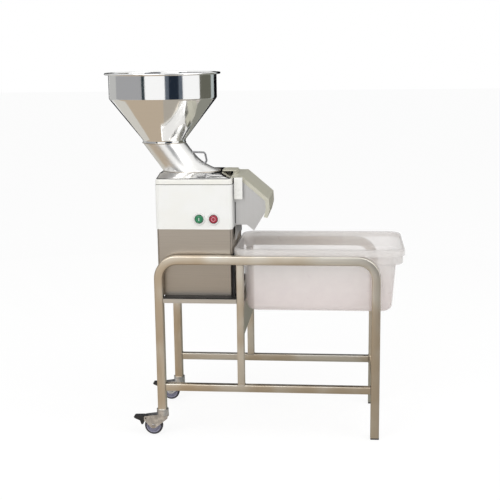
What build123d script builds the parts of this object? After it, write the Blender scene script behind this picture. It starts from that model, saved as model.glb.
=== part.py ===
"""Vegetable cutting machine on a wheeled stand, with a funnel feed head and a collecting bin.

Millimetres. +Z is up, +X runs along the stand from the machine to the bin, and -Y is the front,
where the push buttons are. The origin is on the floor, under the middle of the overall box.
"""

import math
import os

from build123d import *

# Stand: two bent side frames of square tube, joined by rails, a tray and an apron
stand_length = 780.0
stand_depth = 400.0
rail_top = 651.0
tube = 30.0
tube_wall = 1.5
tube_corner = 4.0
bend_radius = 65.0
slim_tube = 25.0
slim_corner = 3.0
lower_rail_top = 190.0
mid_leg_gap = 256.0
tray_top = 500.0
tray_height = 15.0
tray_sheet = 2.0
apron_height = 115.0
apron_width = 24.0
apron_sheet = 3.0
apron_gap = 1.9
glide_height = 6.0
glide_plug = 24.0
fit_gap = 0.3
mat_thickness = 4.0
mat_side = 6.5
mat_gap = 0.5
mat_rise = 144.0

# Casters under the two left legs
caster_height = 95.0
wheel_diameter = 65.0
wheel_width = 20.0
tyre_depth = 7.0
caster_trail = 33.0
stem_radius = 6.0
running_gap = 0.05
race_diameter = 42.0
race_height = 16.0
fork_sheet = 2.5
fork_gap = 26.0
axle_radius = 4.0
pedal_reach = 104.0
pedal_pin_reach = 60.0
pedal_pin_height = 62.0
pedal_width = 22.0
pedal_pin_radius = 2.5

# Collecting bin, hung by its rim on the two top rails
bin_length = 587.0
bin_overhang = 82.0
bin_height = 226.0
bin_wall = 3.0
rim_height = 21.0
rim_inset = 4.0
bin_band_inset = 4.0
bin_side_gap = 3.0
bin_body_inset = 25.0
bin_taper = 15.0
step_drop = 55.0
step_inset = 3.0
bin_corner = 42.0
bin_floor_radius = 24.0

# Machine: steel base, white cast head, lid
machine_offset = 139.0
base_length = 262.0
base_depth = 314.0
base_height = 235.0
base_sheet = 1.5
base_corner = 8.0
head_length = 266.0
head_depth = 330.0
head_height = 154.0
head_corner = 14.0
head_wall = 5.0
deck_thickness = 6.0
gasket = 2.0
lid_thickness = 17.0
lid_inset = 1.0

# Disc chamber and drive
chamber_radius = 102.0
chamber_depth = 141.0
chamber_wall = 4.0
chamber_floor = 7.0
disc_radius = 95.0
shaft_radius = 10.0
boss_radius = 26.0
boss_height = 26.0
gear_module = 2.0
pinion_teeth = 15
wheel_teeth = 60
gear_width = 20.0
gear_backlash = 0.5
pressure_angle = math.radians(20)
gearbox_wall = 6.0
gearbox_height = 49.0
motor_radius = 70.0
stator_height = 130.0
shield_height = 15.0
motor_shaft_radius = 8.0

# Feed head: funnel, slanting elbow and pan
funnel_offset = 15.0
funnel_height = 245.0
funnel_radius = 190.0
lip_radius = 204.0
lip_height = 7.0
lip_bite = 1.0
throat_collar = 10.0
band_bend = 12.0
rim_band = 89.0
throat_radius = 76.0
sheet = 2.0
pan_height = 13.0
pan_depth = 308.0
pan_top_depth = 176.0
pan_length = 252.0
pan_top_length = 214.0
pan_offset = 136.0
pan_top_offset = 117.0
pan_edge = 2.0
elbow_height = 100.0
elbow_shift = 72.0
elbow_flare = 52.0
elbow_flare_power = 4.6
elbow_flare_depth = 8.0
elbow_sections = 7

# Outlet chute and its hood
chute_width = 220.0
chute_sheet = 3.0
chute_flange = 4.0
chute_floor_lift = 8.0
chute_floor_flat = 45.5
chute_floor_end = 70.0
chute_floor_drop = 21.0
chute_corner_lift = 56.0
lip_clearance = 1.5
outlet_width = 200.0
hood_overlap = 8.0
hood_flat = 32.0
hood_reach = 125.0
hood_nose_drop = 75.0
hood_nose_height = 36.0
hood_nose_lean = 2.0
hood_lip_height = 30.0
hood_lip_lean = 8.0
hood_tab = 50.0
hood_tab_width = 80.0
hood_tab_sheet = 4.0
hood_tab_foot = 12.0
hood_sheet = 3.0
hood_skirt = 13.0
hood_gap = 3.5
hood_side_gap = 1.0

# Lid latch, hinge, lift handle, push buttons
latch_width = 28.0
latch_offset = 19.0
latch_gap = 8.0
latch_height = 75.0
latch_thickness = 16.0
latch_wall = 2.5
hinge_back = 21.0
hinge_pin_radius = 5.0
knuckle_radius = 10.0
knuckle_width = 24.0
knuckle_spread = 140.0
ear_thickness = 12.0
handle_rod = 7.0
handle_drop = 35.0
handle_height = 38.0
handle_reach = 43.0
handle_lean = 7.0
handle_root = 14.0
handle_bend = 9.0
button_radius = 13.7
bezel_radius = 21.0
bezel_height = 5.0
button_height = 36.6
button_travel = 4.0
button_pitch = 50.0
start_button_offset = 19.0

# Seats, seals and smaller pieces
bearing_radius = 20.0
bearing_width = 14.0
bearing_seat = 18.0
seal_radius = 16.0
motor_bearing_radius = 20.0
motor_bearing_width = 12.0
winding_height = 20.0
rotor_radius = 41.5
fan_height = 16.0
fan_radius = 60.0
slicing_lift = 96.0
nut_height = 18.0
blade_length = 64.0
blade_width = 18.0
blade_radius = 58.0
blade_count = 3
blade_slot = 14.0
feed_radius = 80.0
bracket_length = 190.0
drip_height = 56.0
drip_radius = 400.0
drip_sag = 10.0
lug_width = 12.0
lug_radius = 5.2
latch_pin_radius = 3.0
gland_x = 90.0
gland_z = 30.0
gland_radius = 8.0

# Places worked out from the sizes above
stand_left = (lip_radius - funnel_offset - stand_length - bin_overhang) / 2
stand_right = stand_left + stand_length
frame_y = (stand_depth - tube) / 2
leg_x = stand_left + tube / 2
far_leg_x = stand_right - tube / 2
rail_z = rail_top - tube / 2
lower_rail_z = lower_rail_top - slim_tube / 2
mid_leg_x = stand_left + tube + mid_leg_gap + slim_tube / 2
inner_y = stand_depth / 2 - tube
plug_width = tube - 2 * tube_wall - 2 * fit_gap
slim_y = frame_y
rim_bottom = rail_top + fit_gap
bin_top = rim_bottom + rim_height
bin_bottom = bin_top - bin_height
bin_x = stand_right + bin_overhang - bin_length / 2
apron_top = tray_top - tray_height
apron_right = bin_x - bin_length / 2 + bin_body_inset + bin_taper * (bin_top - apron_top) / bin_height - apron_gap
apron_x = apron_right - apron_width / 2
machine_x = stand_left + machine_offset
base_bottom = tray_top + mat_thickness
head_bottom = base_bottom + base_height
head_top = head_bottom + head_height
lid_bottom = head_top + gasket
lid_top = lid_bottom + lid_thickness
pan_top = lid_top + pan_height
throat_top = pan_top + elbow_height
funnel_top = throat_top + funnel_height
head_right = machine_x + head_length / 2
head_front = -head_depth / 2
chamber_bottom = head_top - chamber_depth
boss_top = chamber_bottom + boss_height
gear_centre = gear_module * (pinion_teeth + wheel_teeth) / 2
gearbox_bottom = head_bottom - gearbox_height
gear_z = gearbox_bottom + gearbox_wall + 6
motor_top = gearbox_bottom
motor_y = gear_centre
stator_top = motor_top - shield_height
stator_bottom = stator_top - stator_height
motor_bottom = stator_bottom - shield_height
slicing_z = chamber_bottom + slicing_lift
nut_bottom = slicing_z + 8
funnel_x = stand_left + funnel_offset
band_bottom = funnel_top - rim_band
lip_width = lip_radius - funnel_radius + lip_bite

pieces = []


def keep(part, label):
    """Names a finished piece and puts it on the list that is written at the end."""
    part.label = label
    pieces.append(part)
    return part


def square_ring(size, corner, wall):
    """Section of a square tube with round corners, in the sketch that is open."""
    RectangleRounded(size, size, corner)
    RectangleRounded(size - 2 * wall, size - 2 * wall, corner - wall / 2, mode=Mode.SUBTRACT)


# Side frames, each one tube bent into left leg, top rail and right leg
for side, sign in (("front", -1), ("rear", 1)):
    with BuildPart() as side_frame:
        with BuildLine(Plane.XZ.offset(-sign * frame_y)) as frame_line:
            FilletPolyline(
                (leg_x, caster_height),
                (leg_x, rail_z),
                (far_leg_x, rail_z),
                (far_leg_x, glide_height),
                radius=bend_radius,
            )
        with BuildSketch(Plane.XY.offset(caster_height)):
            with Locations((leg_x, sign * frame_y)):
                square_ring(tube, tube_corner, tube_wall)
        sweep(path=frame_line.line)
    keep(side_frame.part, f"{side}_side_frame")

    with BuildPart() as lower_rail:
        with BuildSketch(Plane.YZ.offset(leg_x + tube / 2)):
            with Locations((sign * slim_y, lower_rail_z)):
                square_ring(slim_tube, slim_corner, tube_wall)
        extrude(amount=stand_length - 2 * tube)
    keep(lower_rail.part, f"{side}_lower_rail")

    with BuildPart() as mid_leg:
        with BuildSketch(Plane.XY.offset(lower_rail_top)):
            with Locations((mid_leg_x, sign * slim_y)):
                square_ring(slim_tube, slim_corner, tube_wall)
        extrude(amount=rail_top - tube - lower_rail_top)
    keep(mid_leg.part, f"{side}_mid_leg")

with BuildPart() as cross_rail:
    with BuildSketch(Plane.XZ.offset(-inner_y)):
        with Locations((far_leg_x, lower_rail_z)):
            square_ring(slim_tube, slim_corner, tube_wall)
    extrude(amount=2 * inner_y)
keep(cross_rail.part, "end_cross_rail")

# Apron: folded channel welded between the middle legs, under the tray
apron_half = slim_y - slim_tube / 2
with BuildPart() as apron:
    with BuildSketch(Plane.XZ.offset(-apron_half)):
        with Locations((apron_x, apron_top - apron_height / 2)):
            Rectangle(apron_width, apron_height)
        with Locations((apron_x - apron_sheet, apron_top - apron_height / 2)):
            Rectangle(apron_width, apron_height - 2 * apron_sheet, mode=Mode.SUBTRACT)
    extrude(amount=2 * apron_half)
keep(apron.part, "apron")

# Tray: folded sheet that the machine stands on, edges turned down all round
tray_x = leg_x + tube / 2 + mid_leg_gap / 2
with BuildPart() as tray:
    with BuildSketch(Plane.XY.offset(tray_top - tray_height)):
        with Locations((tray_x, 0)):
            Rectangle(mid_leg_gap, stand_depth - 2)
    extrude(amount=tray_height)
    with BuildSketch(Plane.XY.offset(tray_top - tray_height)):
        with Locations((tray_x, 0)):
            Rectangle(mid_leg_gap - 2 * tray_sheet, stand_depth - 2 - 2 * tray_sheet)
    extrude(amount=tray_height - tray_sheet, mode=Mode.SUBTRACT)
keep(tray.part, "tray")

# Rubber mat on the tray, turned up beside the base to keep it off the middle legs
mat_right = machine_x + base_length / 2 + mat_gap + mat_side
with BuildPart() as mat:
    with BuildSketch(Plane.XY.offset(tray_top)):
        with Locations((tray_x, 0)):
            Rectangle(mid_leg_gap - 2, stand_depth - 8)
    extrude(amount=mat_thickness)
    with BuildSketch(Plane.XY.offset(tray_top + mat_thickness)):
        with Locations((mat_right - mat_side / 2, 0)):
            Rectangle(mat_side, 2 * inner_y - 2)
    extrude(amount=mat_rise)
keep(mat.part, "tray_mat")

# Plastic glides plugged into the right legs
with BuildPart() as glides:
    with Locations(*[(far_leg_x, s * frame_y) for s in (-1, 1)]):
        with Locations((0, 0, glide_height / 2)):
            Box(tube, tube, glide_height)
    fillet(glides.edges().group_by(Axis.Z)[0], 2)
    with BuildSketch(Plane.XY.offset(glide_height)):
        with Locations(*[(far_leg_x, s * frame_y) for s in (-1, 1)]):
            RectangleRounded(plug_width, plug_width, tube_corner - tube_wall / 2)
    extrude(amount=glide_plug)
keep(glides.part, "leg_glides")

# Casters: socket in the leg, swivel fork, axle, wheel, tyre and foot brake
crown_top = caster_height - 6 - fit_gap
crown_bottom = crown_top - race_height
wheel_x = leg_x - caster_trail
wheel_z = wheel_diameter / 2
pedal_x = leg_x - pedal_pin_reach
pedal_z = pedal_pin_height
with BuildPart() as sockets:
    with Locations(*[(leg_x, s * frame_y) for s in (-1, 1)]):
        with Locations((0, 0, caster_height - 3)):
            Cylinder(race_diameter / 2, 6)
        with Locations((0, 0, (crown_bottom + caster_height) / 2 - 2)):
            Cylinder(stem_radius, caster_height - crown_bottom - 2)
        with Locations((0, 0, crown_bottom - fit_gap - 1.5)):
            Cylinder(stem_radius + 4, 3)
    with BuildSketch(Plane.XY.offset(caster_height)):
        with Locations(*[(leg_x, s * frame_y) for s in (-1, 1)]):
            RectangleRounded(plug_width, plug_width, tube_corner - tube_wall / 2)
    extrude(amount=glide_plug)
keep(sockets.part, "caster_sockets")

for side, sign in (("front", -1), ("rear", 1)):
    caster_y = sign * frame_y
    with BuildPart() as fork:
        with BuildSketch(Plane.XZ.offset(-caster_y - fork_gap / 2 - fork_sheet)) as cheek:
            with BuildLine():
                Polyline(
                    (leg_x + 19, crown_bottom + 3),
                    (leg_x + 19, crown_bottom - 10),
                    (wheel_x + 8, wheel_z - 6),
                    (wheel_x - 8, wheel_z - 6),
                    (leg_x - 66, crown_bottom - 18),
                    (leg_x - 66, crown_bottom - 4),
                    (leg_x - 20, crown_bottom + 3),
                    close=True,
                )
            make_face()
            fillet(cheek.vertices(), 4)
        extrude(amount=fork_sheet)
        extrude(cheek.sketch.moved(Location((0, -fork_gap - fork_sheet, 0))), amount=fork_sheet)
        with BuildSketch(Plane.XY.offset(crown_bottom)):
            with Locations((leg_x, caster_y)):
                Rectangle(38, fork_gap + 2 * fork_sheet)
        extrude(amount=3)
        with BuildSketch(Plane.XY.offset(crown_bottom)):
            with Locations((leg_x, caster_y)):
                Circle(race_diameter / 2)
        extrude(amount=race_height)
        with Locations((leg_x, caster_y, crown_top)):
            Hole(stem_radius + running_gap, race_height + 1)
        with BuildSketch(Plane.XZ.offset(-caster_y - fork_gap)):
            with Locations((wheel_x, wheel_z)):
                Circle(axle_radius + running_gap)
            with Locations((pedal_x, pedal_z)):
                Circle(pedal_pin_radius + running_gap)
        extrude(amount=2 * fork_gap, mode=Mode.SUBTRACT)
    keep(fork.part, f"{side}_caster_fork")

    with BuildPart() as axle:
        with BuildSketch(Plane.XZ.offset(-caster_y - fork_gap / 2 - fork_sheet)):
            with Locations((wheel_x, wheel_z)):
                Circle(axle_radius)
        extrude(amount=fork_gap + 2 * fork_sheet)
        for head_y in (-caster_y - fork_gap / 2 - fork_sheet - 4, -caster_y + fork_gap / 2 + fork_sheet):
            with BuildSketch(Plane.XZ.offset(head_y)):
                with Locations((wheel_x, wheel_z)):
                    RegularPolygon(7, 6)
            extrude(amount=4)
    keep(axle.part, f"{side}_caster_axle")

    with BuildPart() as hub:
        with BuildSketch(Plane.XZ.offset(-caster_y - wheel_width / 2)):
            with Locations((wheel_x, wheel_z)):
                Circle(wheel_diameter / 2 - tyre_depth)
        extrude(amount=wheel_width)
        for face_y in (-caster_y - wheel_width / 2, -caster_y + wheel_width / 2 - 6):
            with BuildSketch(Plane.XZ.offset(face_y)):
                with Locations((wheel_x, wheel_z)):
                    Circle(wheel_diameter / 2 - tyre_depth - 4)
                    Circle(9, mode=Mode.SUBTRACT)
            extrude(amount=6, mode=Mode.SUBTRACT)
        with BuildSketch(Plane.XZ.offset(-caster_y - wheel_width / 2 - 1)):
            with Locations((wheel_x, wheel_z)):
                Circle(axle_radius + running_gap)
        extrude(amount=wheel_width + 2, mode=Mode.SUBTRACT)
    keep(hub.part, f"{side}_wheel_hub")

    with BuildPart() as tyre:
        with BuildSketch(Plane.XZ.offset(-caster_y - wheel_width / 2)):
            with Locations((wheel_x, wheel_z)):
                Circle(wheel_diameter / 2)
        extrude(amount=wheel_width)
        fillet(tyre.edges(), 3)
        with BuildSketch(Plane.XZ.offset(-caster_y - wheel_width / 2)):
            with Locations((wheel_x, wheel_z)):
                Circle(wheel_diameter / 2 - tyre_depth)
        extrude(amount=wheel_width, mode=Mode.SUBTRACT)
    keep(tyre.part, f"{side}_tyre")

    with BuildPart() as pedal:
        with BuildSketch(Plane.XZ.offset(-caster_y - pedal_width / 2)) as lever:
            with BuildLine():
                Polyline(
                    (pedal_x + 5, pedal_z + 6),
                    (pedal_x - 8, pedal_z + 8),
                    (leg_x - pedal_reach + 4, pedal_z + 7),
                    (leg_x - pedal_reach, pedal_z + 3),
                    (leg_x - pedal_reach + 3, pedal_z - 2),
                    (pedal_x - 22, pedal_z - 10),
                    (pedal_x - 16, pedal_z - 25),
                    (pedal_x - 10, pedal_z - 24),
                    (pedal_x - 9, pedal_z - 12),
                    (pedal_x + 3.5, pedal_z - 2.5),
                    close=True,
                )
            make_face()
            fillet(lever.vertices(), 1.5)
        extrude(amount=pedal_width)
        with BuildSketch(Plane.XZ.offset(-caster_y - fork_gap / 2 - fork_sheet)):
            with Locations((pedal_x, pedal_z)):
                Circle(pedal_pin_radius)
        extrude(amount=fork_gap + 2 * fork_sheet)
    keep(pedal.part, f"{side}_brake_pedal")

# Bin: tapered body with a step under the rim, and a rim that rests on the two top rails
step_z = bin_top - step_drop
step_share = bin_taper * step_drop / bin_height
inner_floor = bin_bottom + bin_wall
band = (bin_length - 2 * bin_band_inset, 2 * (inner_y - bin_side_gap), bin_corner + 6)
body = (bin_length - 2 * bin_body_inset, 2 * (inner_y - bin_side_gap - step_inset), bin_corner)


def bin_section(height, outline, narrowing, thickness):
    """Level section of the bin, narrowed all round, with its wall taken off."""
    length, depth, corner = outline
    with BuildSketch(Plane.XY.offset(height)) as section:
        with Locations((bin_x, 0)):
            RectangleRounded(
                length - 2 * narrowing - 2 * thickness,
                depth - 2 * narrowing - 2 * thickness,
                corner - thickness,
            )
    return section.sketch


with BuildPart() as bin_body:
    with BuildSketch(Plane.XY.offset(rim_bottom)):
        with Locations((bin_x, 0)):
            RectangleRounded(bin_length, stand_depth - 2 * rim_inset, bin_corner + 10)
    extrude(amount=rim_height)
    fillet(bin_body.edges().group_by(Axis.Z)[-1], 3)
    with BuildSketch(Plane.XY.offset(rim_bottom)):
        with Locations((bin_x, 0)):
            RectangleRounded(bin_length - 2 * bin_wall, stand_depth - 2 * rim_inset - 2 * bin_wall, bin_corner + 7)
    extrude(amount=rim_height - bin_wall, mode=Mode.SUBTRACT)
    loft([bin_section(step_z, band, 1, 0), bin_section(bin_top - 1, band, 0, 0)], ruled=True)
    loft([bin_section(bin_bottom, body, bin_taper, 0), bin_section(step_z, body, step_share, 0)])
    fillet(bin_body.edges().group_by(Axis.Z)[0], bin_floor_radius)
    with BuildPart(mode=Mode.PRIVATE) as hollow:
        low = bin_section(inner_floor, body, bin_taper, bin_wall)
        loft([low, bin_section(step_z + bin_wall, body, step_share, bin_wall)])
        fillet(hollow.edges().group_by(Axis.Z)[0], bin_floor_radius - bin_wall)
        low = bin_section(step_z + bin_wall, band, 1, bin_wall)
        loft([low, bin_section(bin_top, band, 0, bin_wall)])
    add(hollow.part, mode=Mode.SUBTRACT)
keep(bin_body.part, "bin")

# Base: steel casing round the motor, closed below and bolted to the head above
with BuildPart() as base:
    with BuildSketch(Plane.XY.offset(base_bottom)):
        with Locations((machine_x, 0)):
            RectangleRounded(base_length, base_depth, base_corner)
    extrude(amount=base_height)
    with BuildSketch(Plane.XY.offset(base_bottom + 2 * base_sheet)):
        with Locations((machine_x, 0)):
            RectangleRounded(base_length - 2 * base_sheet, base_depth - 2 * base_sheet, base_corner - base_sheet)
    extrude(amount=base_height, mode=Mode.SUBTRACT)
    with Locations(*[(machine_x + gland_x, base_depth / 2, base_bottom + gland_z)]):
        Cylinder(gland_radius, 4 * base_sheet, rotation=(90, 0, 0), mode=Mode.SUBTRACT)
    with BuildSketch(Plane.XZ.offset(-base_depth / 2 - base_sheet)):
        with Locations((machine_x - 30, base_bottom + 60)):
            with GridLocations(0, 9, 1, 7):
                SlotOverall(120, 4)
    extrude(amount=3 * base_sheet, mode=Mode.SUBTRACT)
keep(base.part, "base_casing")

with BuildPart() as gland:
    with Locations((machine_x + gland_x, base_depth / 2, base_bottom + gland_z)):
        Cylinder(gland_radius, 8 * base_sheet, rotation=(90, 0, 0))
    with BuildSketch(Plane.XZ.offset(-base_depth / 2 - 6)):
        with Locations((machine_x + gland_x, base_bottom + gland_z)):
            RegularPolygon(gland_radius + 5, 6)
    extrude(amount=6)
    with BuildSketch(Plane.XZ.offset(-base_depth / 2 - 14)):
        with Locations((machine_x + gland_x, base_bottom + gland_z)):
            Circle(gland_radius + 2)
    extrude(amount=8)
    fillet(gland.edges().sort_by(Axis.Y)[-1], 2)
    with Locations((machine_x + gland_x, base_depth / 2, base_bottom + gland_z)):
        Cylinder(gland_radius - 4, 40, rotation=(90, 0, 0), mode=Mode.SUBTRACT)
keep(gland.part, "cable_gland")

# Head: cast casing with a deck for the lid, button holes and the outlet on the right
outlet_bottom = chamber_bottom + 1
outlet_top = head_top - deck_thickness - 1
button_z = head_bottom + button_height
stop_x = machine_x + start_button_offset + button_pitch
start_x = machine_x + start_button_offset
with BuildPart() as head:
    with BuildSketch(Plane.XY.offset(head_bottom)):
        with Locations((machine_x, 0)):
            RectangleRounded(head_length, head_depth, head_corner)
    extrude(amount=head_height)
    with BuildSketch(Plane.XY.offset(head_bottom + deck_thickness)):
        with Locations((machine_x, 0)):
            RectangleRounded(head_length - 2 * head_wall, head_depth - 2 * head_wall, head_corner - head_wall)
    extrude(amount=head_height - 2 * deck_thickness, mode=Mode.SUBTRACT)
    with BuildSketch(Plane.XY.offset(head_bottom + 1)):
        with Locations((machine_x, 0)):
            Circle(chamber_radius)
    extrude(amount=head_height, mode=Mode.SUBTRACT)
    with Locations((machine_x, 0, head_bottom)):
        Cylinder(bearing_radius, 4, mode=Mode.SUBTRACT)
    with BuildSketch(Plane.XY.offset(head_bottom)):
        with Locations((machine_x, 0)):
            Circle(chamber_radius + 1)
            Circle(bearing_radius, mode=Mode.SUBTRACT)
    extrude(amount=deck_thickness)
    with Locations((head_right, 0, (outlet_bottom + outlet_top) / 2)):
        Box(3 * head_wall, outlet_width, outlet_top - outlet_bottom, mode=Mode.SUBTRACT)
    with BuildSketch(Plane.XZ.offset(-head_front - 2 * head_wall)):
        with Locations((start_x, button_z), (stop_x, button_z)):
            Circle(button_radius + fit_gap)
    extrude(amount=3 * head_wall, mode=Mode.SUBTRACT)
keep(head.part, "head_casing")

# Disc chamber: bowl round the discs, open to the right, with the bearing boss in its floor
chamber_top = head_top - deck_thickness
bowl_right = head_right - head_wall
bowl_width = 2 * (chamber_radius + chamber_wall)
with BuildPart() as chamber:
    with BuildSketch(Plane.XY.offset(chamber_bottom - chamber_floor)):
        with Locations((machine_x, 0)):
            Circle(bowl_width / 2)
        with Locations(((machine_x + bowl_right) / 2, 0)):
            Rectangle(bowl_right - machine_x, bowl_width)
    extrude(amount=chamber_top - chamber_bottom + chamber_floor)
    with BuildSketch(Plane.XY.offset(chamber_bottom)):
        with Locations((machine_x, 0)):
            Circle(chamber_radius)
        with Locations(((machine_x + bowl_right) / 2, 0)):
            Rectangle(bowl_right - machine_x, 2 * chamber_radius)
    extrude(amount=chamber_top, mode=Mode.SUBTRACT)
    with Locations((machine_x, 0, chamber_bottom + boss_height / 2)):
        Cylinder(boss_radius, boss_height)
    with Locations((machine_x, 0, chamber_bottom + boss_height / 2)):
        Cylinder(seal_radius, boss_height + 20, mode=Mode.SUBTRACT)
    with Locations((machine_x, 0, chamber_bottom - chamber_floor + bearing_seat / 2)):
        Cylinder(bearing_radius, bearing_seat, mode=Mode.SUBTRACT)
keep(chamber.part, "disc_chamber")


def ring(x, y, bottom, outer, inner, height):
    """Plain upright ring, added to the part that is open."""
    with BuildSketch(Plane.XY.offset(bottom)) as section:
        with Locations((x, y)):
            Circle(outer)
            Circle(inner, mode=Mode.SUBTRACT)
    extrude(section.sketch, amount=height)


seat_top = chamber_bottom - chamber_floor + bearing_seat
with BuildPart() as seal:
    ring(machine_x, 0, seat_top, seal_radius, shaft_radius + running_gap, boss_top - seat_top - 2)
keep(seal.part, "shaft_seal")

low_bearing_z = gearbox_bottom + 2
with BuildPart() as drive_bearings:
    inner = shaft_radius + running_gap
    ring(machine_x, 0, seat_top - bearing_width, bearing_radius, inner, bearing_width)
    ring(machine_x, 0, low_bearing_z, bearing_radius, inner, gearbox_wall + 4 - 2)
keep(drive_bearings.part, "drive_bearings")

# Gearbox housing: cup with one bay for the wheel and one for the pinion
wheel_bay = gear_module * (wheel_teeth / 2 + 1) + 4
pinion_bay = gear_module * (pinion_teeth / 2 + 1) + 5
with BuildPart() as gearbox:
    with BuildSketch(Plane.XY.offset(gearbox_bottom)):
        with Locations((machine_x, 0)):
            Circle(wheel_bay + gearbox_wall)
        with Locations((machine_x, motor_y)):
            Circle(pinion_bay + gearbox_wall)
    extrude(amount=gearbox_height)
    with BuildSketch(Plane.XY.offset(gearbox_bottom + gearbox_wall)):
        with Locations((machine_x, 0)):
            Circle(wheel_bay)
        with Locations((machine_x, motor_y)):
            Circle(pinion_bay)
    extrude(amount=gearbox_height, mode=Mode.SUBTRACT)
    ring(machine_x, 0, gearbox_bottom, bearing_radius + 5, 1, gearbox_wall + 4)
    with Locations((machine_x, 0, low_bearing_z + gearbox_wall)):
        Cylinder(bearing_radius, 2 * gearbox_wall, mode=Mode.SUBTRACT)
    with Locations((machine_x, 0, gearbox_bottom + 1)):
        Cylinder(1.5, 2)
    with Locations((machine_x, motor_y, gearbox_bottom)):
        Cylinder(motor_shaft_radius + 2, 4 * gearbox_wall, mode=Mode.SUBTRACT)
keep(gearbox.part, "gearbox_housing")


def tooth_flank(base_radius, start_radius, tip_radius, half_angle):
    """Points of one involute flank, turned so that the tooth is half_angle wide at the pitch."""
    points = []
    for step in range(7):
        radius = start_radius + (tip_radius - start_radius) * step / 6
        spin = math.acos(min(1, base_radius / max(radius, base_radius)))
        angle = half_angle - (math.tan(spin) - spin)
        points.append((radius, angle))
    return points


def spur_sketch(teeth, phase, x, y, height):
    """Section of a spur gear with involute flanks, thinned for backlash, at one gear centre."""
    pitch = gear_module * teeth / 2
    base_radius = pitch * math.cos(pressure_angle)
    tip = pitch + gear_module
    root = pitch - 1.25 * gear_module
    involute = math.tan(pressure_angle) - pressure_angle
    half_angle = math.pi / (2 * teeth) - gear_backlash / (4 * pitch) + involute
    flank = tooth_flank(base_radius, max(base_radius, root), tip, half_angle)
    outline = []
    for tooth in range(teeth):
        middle = phase + 2 * math.pi * tooth / teeth
        rise = [(root, middle - half_angle)] + [(r, middle - a) for r, a in flank]
        fall = [(r, middle + a) for r, a in reversed(flank)] + [(root, middle + half_angle)]
        outline += [(x + r * math.cos(a), y + r * math.sin(a)) for r, a in rise + fall]
    with BuildSketch(Plane.XY.offset(height)) as section:
        with BuildLine():
            Polyline(*outline, close=True)
        make_face()
    return section.sketch


# Gear pair: the wheel has a tooth on the line of centres, the pinion a gap
with BuildPart() as gear_wheel:
    add(spur_sketch(wheel_teeth, math.pi / 2, machine_x, 0, gear_z))
    extrude(amount=gear_width)
    for web_z in (gear_z, gear_z + gear_width - 6):
        with BuildSketch(Plane.XY.offset(web_z)):
            with Locations((machine_x, 0)):
                Circle(gear_module * wheel_teeth / 2 - 8)
                Circle(22, mode=Mode.SUBTRACT)
        extrude(amount=6, mode=Mode.SUBTRACT)
    with BuildSketch(Plane.XY.offset(gear_z)):
        with Locations((machine_x, 0)):
            Circle(shaft_radius)
            with PolarLocations(37, 5):
                Circle(9)
    extrude(amount=gear_width, mode=Mode.SUBTRACT)
keep(gear_wheel.part, "gear_wheel")

with BuildPart() as pinion:
    pinion_phase = -math.pi / 2 + math.pi / pinion_teeth
    add(spur_sketch(pinion_teeth, pinion_phase, machine_x, motor_y, gear_z))
    extrude(amount=gear_width)
    with Locations((machine_x, motor_y, gear_z + gear_width / 2)):
        Cylinder(motor_shaft_radius, 2 * gear_width, mode=Mode.SUBTRACT)
keep(pinion.part, "motor_pinion")

shaft_bottom = low_bearing_z + 0.5
shaft_top = nut_bottom + nut_height - 6
with BuildPart() as shaft:
    with Locations((machine_x, 0, (shaft_bottom + shaft_top) / 2)):
        Cylinder(shaft_radius, shaft_top - shaft_bottom)
    chamfer(shaft.edges(), 1)
keep(shaft.part, "drive_shaft")

# Motor: rotor shaft, core and fan, and the stator between two end shields
rotor_bottom = motor_bottom - fan_height - 4
with BuildPart() as rotor_shaft:
    rotor_top = gear_z + gear_width + 2
    with Locations((machine_x, motor_y, (rotor_bottom + rotor_top) / 2)):
        Cylinder(motor_shaft_radius, rotor_top - rotor_bottom)
    chamfer(rotor_shaft.edges(), 1)
keep(rotor_shaft.part, "rotor_shaft")

core_bottom = stator_bottom + winding_height + 5
core_height = stator_height - 2 * winding_height - 10
with BuildPart() as rotor_core:
    ring(machine_x, motor_y, core_bottom, rotor_radius, motor_shaft_radius, core_height)
    for end_z in (core_bottom - 6, core_bottom + core_height):
        ring(machine_x, motor_y, end_z, rotor_radius - 3, rotor_radius - 12, 6)
keep(rotor_core.part, "rotor_core")

with BuildPart() as fan:
    fan_bottom = motor_bottom - fan_height - 2
    ring(machine_x, motor_y, fan_bottom, fan_radius, motor_shaft_radius, 2.5)
    ring(machine_x, motor_y, fan_bottom, 16, motor_shaft_radius, fan_height)
    with Locations((machine_x, motor_y, fan_bottom + fan_height / 2)):
        with PolarLocations(fan_radius / 2 + 7, 8):
            Box(fan_radius - 16, 2.5, fan_height)
keep(fan.part, "motor_fan")

with BuildPart() as stator:
    ring(machine_x, motor_y, stator_bottom, motor_radius, motor_radius - 6, stator_height)
    ring(machine_x, motor_y, core_bottom, motor_radius - 5, rotor_radius + 0.5, core_height)
keep(stator.part, "stator_core")

with BuildPart() as windings:
    ring(machine_x, motor_y, core_bottom - winding_height, motor_radius - 9, rotor_radius + 4, winding_height)
    ring(machine_x, motor_y, core_bottom + core_height, motor_radius - 9, rotor_radius + 4, winding_height)
    fillet(windings.edges().filter_by(GeomType.CIRCLE), 3)
keep(windings.part, "stator_windings")

with BuildPart() as shields:
    for shield_z, seat_z in ((stator_top, stator_top), (motor_bottom, stator_bottom - motor_bearing_width)):
        ring(machine_x, motor_y, shield_z, motor_radius, motor_shaft_radius + 1, shield_height)
        with Locations((machine_x, motor_y, seat_z + motor_bearing_width / 2)):
            Cylinder(motor_bearing_radius, motor_bearing_width, mode=Mode.SUBTRACT)
keep(shields.part, "end_shields")

with BuildPart() as motor_bearings:
    for seat_z in (stator_top, stator_bottom - motor_bearing_width):
        bore = motor_shaft_radius + running_gap
        ring(machine_x, motor_y, seat_z, motor_bearing_radius, bore, motor_bearing_width)
keep(motor_bearings.part, "motor_bearings")

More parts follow.
